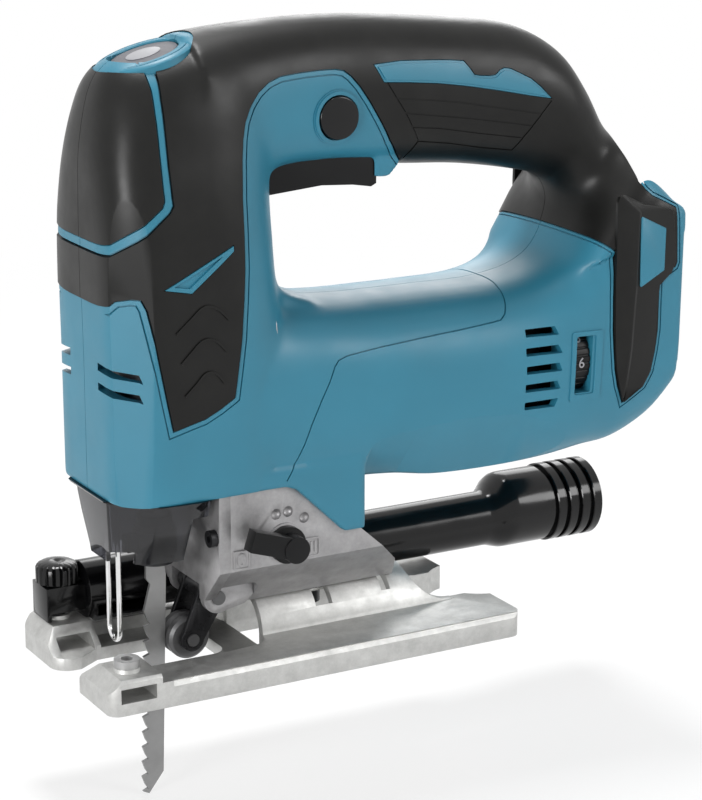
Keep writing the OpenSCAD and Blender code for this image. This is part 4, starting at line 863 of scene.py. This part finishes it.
def over_body(name, base, outline, low, high):
    """Skin that follows the body inside an outline in (x, z), between two heights over its surface."""
    piece = swollen(base, name, high)
    carve(piece, plate("region", outline, -THROUGH, THROUGH), "INTERSECT")
    return carve(piece, swollen(base, "under", low))


def add_trim(base):
    """Raised inlays, frames and ribs on the body's two sides."""
    inlay = over_body("grip_inlay", base, INLAY, -0.7, 0.35)
    carve(inlay, over_body("inlay_top", base, moved_aside(INLAY, -0.8), -0.5, 0.8), "UNION")
    dressed(inlay, "tool", blue_plastic)
    frame_piece = over_body("side_triangle", base, TRIANGLE, -0.7, 0.75)
    carve(frame_piece, plate("hollow", TRIANGLE_HOLLOW, -THROUGH, THROUGH))
    dressed(frame_piece, "tool", blue_plastic)
    floor_piece = over_body("triangle_floor", base, moved_aside(TRIANGLE_HOLLOW, 0.3), -0.9, -0.45)
    dressed(floor_piece, "tool", black_plastic)
    ribs = swollen(base, "side_ribs", 1)
    walls = [groove_wall("wall", flowing(line, 3), 0.7, False, -THROUGH, THROUGH) for line in RIDGES]
    carve(ribs, joined("walls", walls), "INTERSECT")
    carve(ribs, swollen(base, "under", 0.1))
    dressed(ribs, "tool", black_rubber)
    collar = over_body("lock_collar", base, circle(*LOCK_AXIS, 9.3), -0.6, 0.4)
    carve(collar, over_body("collar_top", base, circle(*LOCK_AXIS, 8.8), -0.5, 0.85), "UNION")
    carve(collar, lock_bore(7.6, 45))
    dressed(collar, "tool", blue_plastic)
    outside = rounded([(98.9, 82), (111, 82), (111.8, 107), (99.7, 107)], 1.2)
    window = rounded([(100.6, 84.4), (108.4, 84.4), (109, 105.4), (101.4, 105.4)], 0.8)
    dial_frame = over_body("dial_frame", base, outside, -0.6, 0.45)
    carve(dial_frame, plate("window", window, -THROUGH, THROUGH))
    dressed(dial_frame, "tool", blue_plastic)
    removed(base)


# Rows down the ridged end pads: left edge, ridge with its distance from the middle, right edge
PAD_ROWS = [
    (116.8, 153.6, 117.7, 154, 37.5, 127.5, 150.2), (116, 151.6, 120.9, 151, 38.5, 133.9, 148.9),
    (115.9, 147.4, 123.9, 147.7, 39.2, 140.1, 146.6), (116, 140.3, 123.6, 140, 39.2, 141.1, 137.9),
    (116.1, 130.8, 123.4, 130.4, 39.2, 141.6, 128.1), (116.1, 127.2, 123.3, 126.9, 39.2, 140.2, 124.7),
    (116, 122.6, 123.3, 122.2, 39.2, 135.2, 120.5), (116.2, 117.2, 122.8, 116.9, 39.2, 134.5, 115.2),
    (116.4, 106.4, 122.2, 106.2, 39.2, 134.1, 104.3), (116.9, 99.1, 121.8, 99, 39.2, 133.6, 97.1),
    (117.6, 91.8, 121.1, 91, 38.8, 132.1, 89.2), (118.9, 85.8, 120.7, 85.1, 38.2, 129.3, 84.4),
    (120.1, 81.6, 120.5, 81.3, 37.5, 121.3, 79.6),
]
BADGE_PLACE = [(125, 146.4), (136.3, 141), (136.1, 126), (125.5, 120.8)]
# The far pad's upper part starts this much further back, clear of the hand opening
FAR_PAD_SHIFT = 5


def add_pads():
    """Ridged pads on the shoe's side walls, each with a bare badge place."""
    for side, hand in HANDS:
        rings = []
        for lx, lz, mx, mz, my, rx, rz in PAD_ROWS:
            if side > 0 and lz > 135:
                lx, mx = lx + FAR_PAD_SHIFT, max(mx, lx + FAR_PAD_SHIFT + 1.2)
            row = [(lx, 36, lz), (lx, 37.45, lz), (mx - 0.3, my, mz), (mx + 0.3, my, mz),
                   (mx + 1.5, my - 0.75, mz), (rx - 0.6, 37.75, rz), (rx, 37.2, rz), (rx, 36, rz)]
            rings.append([(x, side * y, z) for x, y, z in row])
        pad = wrapped("end_pad_" + hand, rings)
        badge = wrapped("badge_place_" + hand, [
            [(x, side * y, z) for x, z in rounded(moved_aside(BADGE_PLACE, inward), 0.7, 3)]
            for y, inward in ((36.6, 0), (38.75, 0), (39, -0.3))
        ])
        for vertex in badge.data.vertices:
            if abs(vertex.co.y) > 37.5 * MM:
                vertex.co.y -= side * (vertex.co.x / MM - 124.5) * 0.055 * MM
        dressed(bevelled(pad, 0.25, 2, 20), "tool", black_rubber, "bumper_" + hand, angle=20)
        dressed(outward(badge), "tool", blue_plastic)


def add_power_button():
    """The button in its ring on the sloped top of the head, as (radius, height) profiles."""
    ring = [(12, -3.5), (12, 0.1), (12.4, 0.5), (14.5, 0.5), (14.65, 0.05), (14.95, 0.05), (15.1, 0.45),
            (16.2, 0.1), (16.8, -0.6), (16.9, -3.5)]
    cap = [(0, -2.2), (11.5, -2.2), (11.5, -0.4), (11.2, 0), (6, 0.12), (5.8, 0.3), (0, 0.32)]
    place = [(0, 0.1), (5.75, 0.1), (5.75, 0.36), (5.6, 0.42), (0, 0.44)]
    dressed(turned("button_ring", ring, POWER_PLACE, POWER_UP, 96), "tool", blue_plastic)
    dressed(turned("power_cap", cap, POWER_PLACE, POWER_UP, 96), "power", grey_button, "power_button")
    dressed(turned("button_place", place, POWER_PLACE, POWER_UP, 72), "power", pale_plastic)


def eased(node, name, body, material, width, segments=2):
    """A node's own shape with its edges broken, in the node's place."""
    source = bpy.data.objects[node]
    piece = bpy.data.objects.new(name, source.data.copy())
    in_scene(piece)
    edit_all(piece)
    bpy.ops.mesh.remove_doubles(threshold=NODE_MERGE)
    bpy.ops.mesh.dissolve_limited(angle_limit=NODE_FLAT)
    bpy.ops.mesh.normals_make_consistent(inside=False)
    leave_edit()
    bevelled(piece, width, segments, 30)
    dressed(piece, body, material, node)


def halved(piece, name, side):
    """One half of a piece, cut at the seam between the two shells."""
    half = copied(piece, name)
    edit_all(half)
    bpy.ops.mesh.bisect(plane_co=(0, 0, 0), plane_no=(0, 1, 0), clear_inner=side > 0, clear_outer=side < 0)
    leave_edit()
    return half


def add_shell():
    """The shell and its rubber, each as two halves."""
    shell, skin, base = build_shell()
    add_trim(base)
    for piece, word, node, material in ((shell, "shell", "housing", blue_plastic),
                                        (skin, "rubber", "grip", black_rubber)):
        for side, hand in HANDS:
            half = halved(piece, word + "_" + hand, side)
            dressed(half, "tool", material, node + "_" + hand)
        removed(piece)


add_shell()
add_pads()
add_power_button()


# ---------- working parts ----------
# Corners of the clear cover's plan at its top and at its foot: x, half width
COVER_PLAN = [(-67.6, 12.5), (-55, 25.6), (-43, 26.6), (-35.2, 25.2)]
COVER_FOOT = [(-65, 8.3), (-53.8, 15.9), (-43, 16.8), (-36.4, 16.2)]


def cover_ring(z, share, drawn=0):
    """The cover's outline at one height, a share of the way from its top to its foot."""
    corners = [Vector(a) * (1 - share) + Vector(b) * share for a, b in zip(COVER_PLAN, COVER_FOOT)]
    outline = moved_aside([(x, -y) for x, y in corners] + corners[::-1], drawn)
    return [(x, y, z) for x, y in rounded(outline, 1.6)]


def add_cover():
    """The clear cover round the blade, thin and faceted with a notch low in front, and a gloss black band
    under the nose that is a black seal and painted shade between the shell and the cover in one.
    """
    levels = ((64.4, 0), (62.6, 0.02), (56, 0.3), (49, 0.66), (44, 0.92), (41.6, 1))
    rings = [cover_ring(z, t) for z, t in levels] + [cover_ring(z, t, 1.6) for z, t in reversed(levels)]
    visor = wrapped("visor", rings, endless=True)
    notch = [(-16, 36), (-16, 44.6), (-13.6, 46.4), (-6.4, 45.6), (-5.4, 44), (-5.4, 36)]
    carve(visor, plate("notch", notch, -75, -58, "X"))
    carve(visor, box("behind", (-42, -40, 30), (-30, 40, 58)))
    dressed(visor, "cover", clear_cover, "chip_cover", angle=24)
    # The gloss black band under the nose's lower edge is partly a black seal and partly painted shade
    # between the shell and the cover.
    seal_and_shade_levels = ((65.8, -0.4, -1.1), (65.1, -0.2, -1.3), (64.5, 0.1, -0.9), (63.9, 0.1, -0.2))
    rings = [cover_ring(z, t, d) for z, t, d in seal_and_shade_levels]
    rings += [cover_ring(63.9, 0.1, 2.2), cover_ring(65.8, 0, 1.4)]
    dressed(wrapped("nose_seal", rings, endless=True), "tool", gloss_black)


MARK_Y = -27


def cast_mark(name, low, high, strokes):
    """A raised tablet on the side of the casting, with a raised rim and raised strokes."""
    tablet = plate(name, rounded(rectangle(low, high), 0.9), MARK_Y - 0.55, MARK_Y + 0.2)
    inner = rectangle(low, high, 0.55)
    carve(tablet, plate("recess", rounded(inner, 0.6), MARK_Y - 2, MARK_Y - 0.15))
    for outline, opening in strokes:
        stroke = plate("stroke", outline, MARK_Y - 0.5, MARK_Y)
        if opening:
            carve(stroke, plate("opening", opening, MARK_Y - 2, MARK_Y - 0.2))
        carve(tablet, stroke, "UNION")
    dressed(bevelled(tablet, 0.1, 2, 40), "tool", cast_alloy)


def add_marks():
    """Three bars and a ring, for the most and the least of the blade's swing."""
    bars = [(rounded(rectangle((x - 0.4, 40.6), (x + 0.4, 44.4)), 0.2, 3), None) for x in (-0.9, 0.6, 2.1)]
    cast_mark("lever_mark_three", (-2.6, 39.1), (3.8, 45.8), bars)
    ring = (oval(-25.7, 42.1, 1.7, 2.4, 28), oval(-25.7, 42.1, 0.8, 1.5, 28))
    cast_mark("lever_mark_none", (-28.9, 38.8), (-22.6, 45.5), [ring])


DIAL_PLACE = (103.8, -22.4, 95.5)
FIGURE_REACH = 13.02
FIGURE_STEP = 40


def dial_figure(text, turn):
    """A printed figure, a hair thick, on the dial's rim."""
    name = "dial_figure_" + text
    data = bpy.data.curves.new(name, "FONT")
    data.body = text
    data.size = 5.2 * MM
    data.extrude = 0.06 * MM
    data.align_x = "CENTER"
    data.align_y = "CENTER"
    figure = bpy.data.objects.new(name, data)
    in_scene(figure)
    select(figure)
    bpy.ops.object.convert(target="MESH")
    figure = bpy.context.object
    a = math.radians(turn)
    x, y, z = DIAL_PLACE
    place = Vector((x, y - FIGURE_REACH * math.cos(a), z - FIGURE_REACH * math.sin(a)))
    figure.data.transform(Matrix.Translation(place * MM) @ Matrix.Rotation(a, 4, "X")
                          @ Matrix.Rotation(math.radians(90), 4, "X"))
    figure.name = name
    dressed(outward(figure), "dial", pale_plastic)


def add_rails():
    """Guide rails for the pack, down each side of the recess, with the lip they hook over."""
    for side, hand in HANDS:
        outline = rounded([(31.9, 84), (31.9, 146), (28.6, 146), (28.6, 143), (30.4, 141), (30.4, 88),
                           (28.6, 86), (28.6, 84)], 0.5, 3)
        rail = plate("rail_" + hand, [(y * side, z) for y, z in outline], 133, 144, "X")
        dressed(bevelled(rail, 0.3), "tool", black_plastic)


eased("trigger", "trigger_grip", "pull", black_plastic, 1.1, 3)
eased("orbit_lever", "lever", "orbit", black_plastic, 0.6, 3)
eased("lock_button", "lock_knob", "lock", gloss_black, 0.5, 3)
eased("base_plate", "sole_plate", "sole", plate_alloy, 0.45)
eased("gear_case", "gear_casting", "tool", cast_alloy, 0.4)
eased("case_cover", "cover_casting", "tool", cast_alloy, 0.4)
eased("retainer_arm", "roller_arm", "retainer", black_steel, 0.4)


TUBE_Y = 28
TUBE_Z = 20.8
TUBE_BORE = 8.5
SOCKET_Z = 23.2
# One rib of the socket, along the pipe and out from its axis
RIB = ((0, 13.4), (0, 14.6), (0.3, 14.9), (3.3, 14.9), (3.6, 14.6), (3.6, 13.4))
RIBS = 4
FIRST_RIB = 129.4
RIB_PITCH = 5.4
# Thumb knob: place, ridges, and rows of height, radius and how deep the ridges are cut
KNOB = (-69, 29)
KNOB_RIDGES = 18
KNOB_ROWS = ((24.9, 7, 0), (25.3, 7.4, 0.9), (30.2, 7.4, 0.9), (31.2, 6.9, 0.5), (31.9, 5.6, 0),
             (32.3, 3.2, 0), (32.3, 1.5, 0), (31.8, 0.7, 0))


def pipe(name, rows):
    """A hollow round form along x: rows of x, height and radius, along the outside and back inside."""
    return wrapped(name, [[(x, *p) for p in oval(TUBE_Y, z, r, r, 64)] for x, z, r in rows])


def add_nozzle():
    """The suction pipe with its mouth behind the blade, its foot on the sole and its ribbed socket."""
    rows = [(-61.4, TUBE_Z, 9.6), (-61, TUBE_Z, 10.3), (102, TUBE_Z, 10.3), (104, 20.85, 10.6),
            (106.2, 21.5, 11.9), (108.6, 22.5, 13.5), (110.4, 23, 14.1), (112.4, SOCKET_Z, 14.3),
            (127.2, SOCKET_Z, 14.3), (127.5, SOCKET_Z, 13.4)]
    for i in range(RIBS):
        rib = FIRST_RIB + RIB_PITCH * i
        rows += [(rib + x, SOCKET_Z, r) for x, r in RIB]
    rows.pop()
    rows += [(149.2, SOCKET_Z, 12.4), (148.8, SOCKET_Z, 12), (112, SOCKET_Z, 12),
             (104, TUBE_Z, TUBE_BORE), (-58, TUBE_Z, TUBE_BORE)]
    nozzle = pipe("suction_pipe", rows)
    foot = box("foot", (-75.6, 22.5, 15.1), (-63.5, 35.5, 24.6))
    wall = box("foot_wall", (-75.6, 22.5, 12.4), (-73.9, 35.5, 16))
    mouth = box("mouth", (-60.6, 23, 12.4), (-38, 37.8, 25.5))
    lip = box("lip", (-60.6, 17, 12.4), (-38, 24, 19.5))
    link = box("link", (-64, 24, 14.5), (-58, 35, 23.6))
    for part in (wall, mouth, lip, link):
        carve(foot, part, "UNION")
    bevelled(foot, 0.7, 2)
    carve(nozzle, foot, "UNION")
    for room in (box("room", (-59, 16, 14), (-39.6, 36.2, 17.9)),
                 box("room", (-59, 24.6, 14), (-39.6, 36.2, 23.7)),
                 rod("bore", (-50, TUBE_Y, TUBE_Z), (-20, TUBE_Y, TUBE_Z), TUBE_BORE),
                 rod("screw", (*KNOB, 0), (*KNOB, 60), 3.4)):
        carve(nozzle, room)
    dressed(nozzle, "sole", gloss_black, "dust_nozzle")


def add_knob():
    """The ridged thumb knob that holds the suction pipe, with its screw."""
    rings = []
    for z, radius, bite in KNOB_ROWS:
        ring = []
        for i in range(144):
            a = math.tau * i / 144
            r = radius - bite * max(0.0, math.cos(a * KNOB_RIDGES)) ** 2
            ring.append((KNOB[0] + r * math.cos(a), KNOB[1] + r * math.sin(a), z))
        rings.append(ring)
    knob = wrapped("thumb_knob", rings)
    carve(knob, rod("screw_shank", (*KNOB, 8.2), (*KNOB, 26), 2.9, 32), "UNION")
    dressed(knob, "thumb_screw", gloss_black, "nozzle_screw", angle=40)


add_nozzle()
add_knob()
add_cover()
add_marks()
for i, text in enumerate("654321"):
    dial_figure(text, -FIGURE_STEP * i)
add_rails()


# ---------- light and floor ----------
def lamp(name, place, aim, size, energy):
    data = bpy.data.lights.new(name, "AREA")
    data.shape = "DISK"
    data.size = size
    data.energy = energy
    light = bpy.data.objects.new(name, data)
    light.location = place
    light.rotation_euler = (Vector(aim) - Vector(place)).to_track_quat("-Z", "Y").to_euler()
    in_scene(light)


def seen_directly(tree):
    """One for what the camera, a mirror or a clear part sees, and nothing for light on the object."""
    path = add_node(tree, "LightPath")
    seen = path.outputs["Is Camera Ray"]
    for ray in ("Is Glossy Ray", "Is Transmission Ray"):
        seen = add_node(tree, "Math", {0: seen, 1: path.outputs[ray]}, operation="MAXIMUM").outputs[0]
    return seen


def studio():
    """White to look at, with a soft light from all round and four lamps."""
    scene = bpy.context.scene
    scene.view_settings.view_transform = "Standard"
    world = bpy.data.worlds.new("studio")
    scene.world = world
    world.use_nodes = True
    tree = world.node_tree
    tree.nodes.clear()
    soft = add_node(tree, "Background", {"Color": (1, 1, 1, 1), "Strength": 0.3})
    white = add_node(tree, "Background", {"Color": (1, 1, 1, 1), "Strength": 1})
    mix = add_node(tree, "MixShader", {0: seen_directly(tree), 1: soft.outputs[0], 2: white.outputs[0]})
    add_node(tree, "OutputWorld", {"Surface": mix.outputs[0]})
    lamp("key", (-1.1, -0.55, 0.3), (-0.02, 0, 0.11), 0.5, 9)
    lamp("side", (0.75, -0.85, 0.6), (0.05, 0, 0.1), 0.45, 4.2)
    lamp("overhead", (0.02, 0.22, 1.1), (0.02, 0, 0.16), 0.34, 9)
    lamp("rim", (0.5, 0.75, 0.5), (0.02, 0, 0.1), 0.5, 2)


def add_floor():
    """White paper that takes the shadow near the object and fades to plain white further out."""
    floor = started("floor", bpy.ops.mesh.primitive_plane_add, size=6)
    floor.data.transform(Matrix.Translation((0, 0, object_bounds()[0][2] - 0.0002)))
    material, tree, surface = shader("floor_paper")
    surface.inputs["Base Color"].default_value = (0.95, 0.95, 0.95, 1)
    surface.inputs["Roughness"].default_value = 0.9
    place = add_node(tree, "TexCoord").outputs["Object"]
    away = add_node(tree, "VectorMath", {0: place}, operation="LENGTH")
    fade = spread(tree, away.outputs["Value"], 0.7, 1.0, 0.25, 0.9)
    share = add_node(tree, "Math", {0: fade, 1: seen_directly(tree)}, operation="MULTIPLY")
    glow = add_node(tree, "Emission")
    mix = add_node(tree, "MixShader", {0: share.outputs[0], 1: surface.outputs[0], 2: glow.outputs[0]})
    out = next(n for n in tree.nodes if n.type == "OUTPUT_MATERIAL")
    tree.links.new(mix.outputs[0], out.inputs["Surface"])
    floor.data.materials.append(material)


studio()
add_floor()
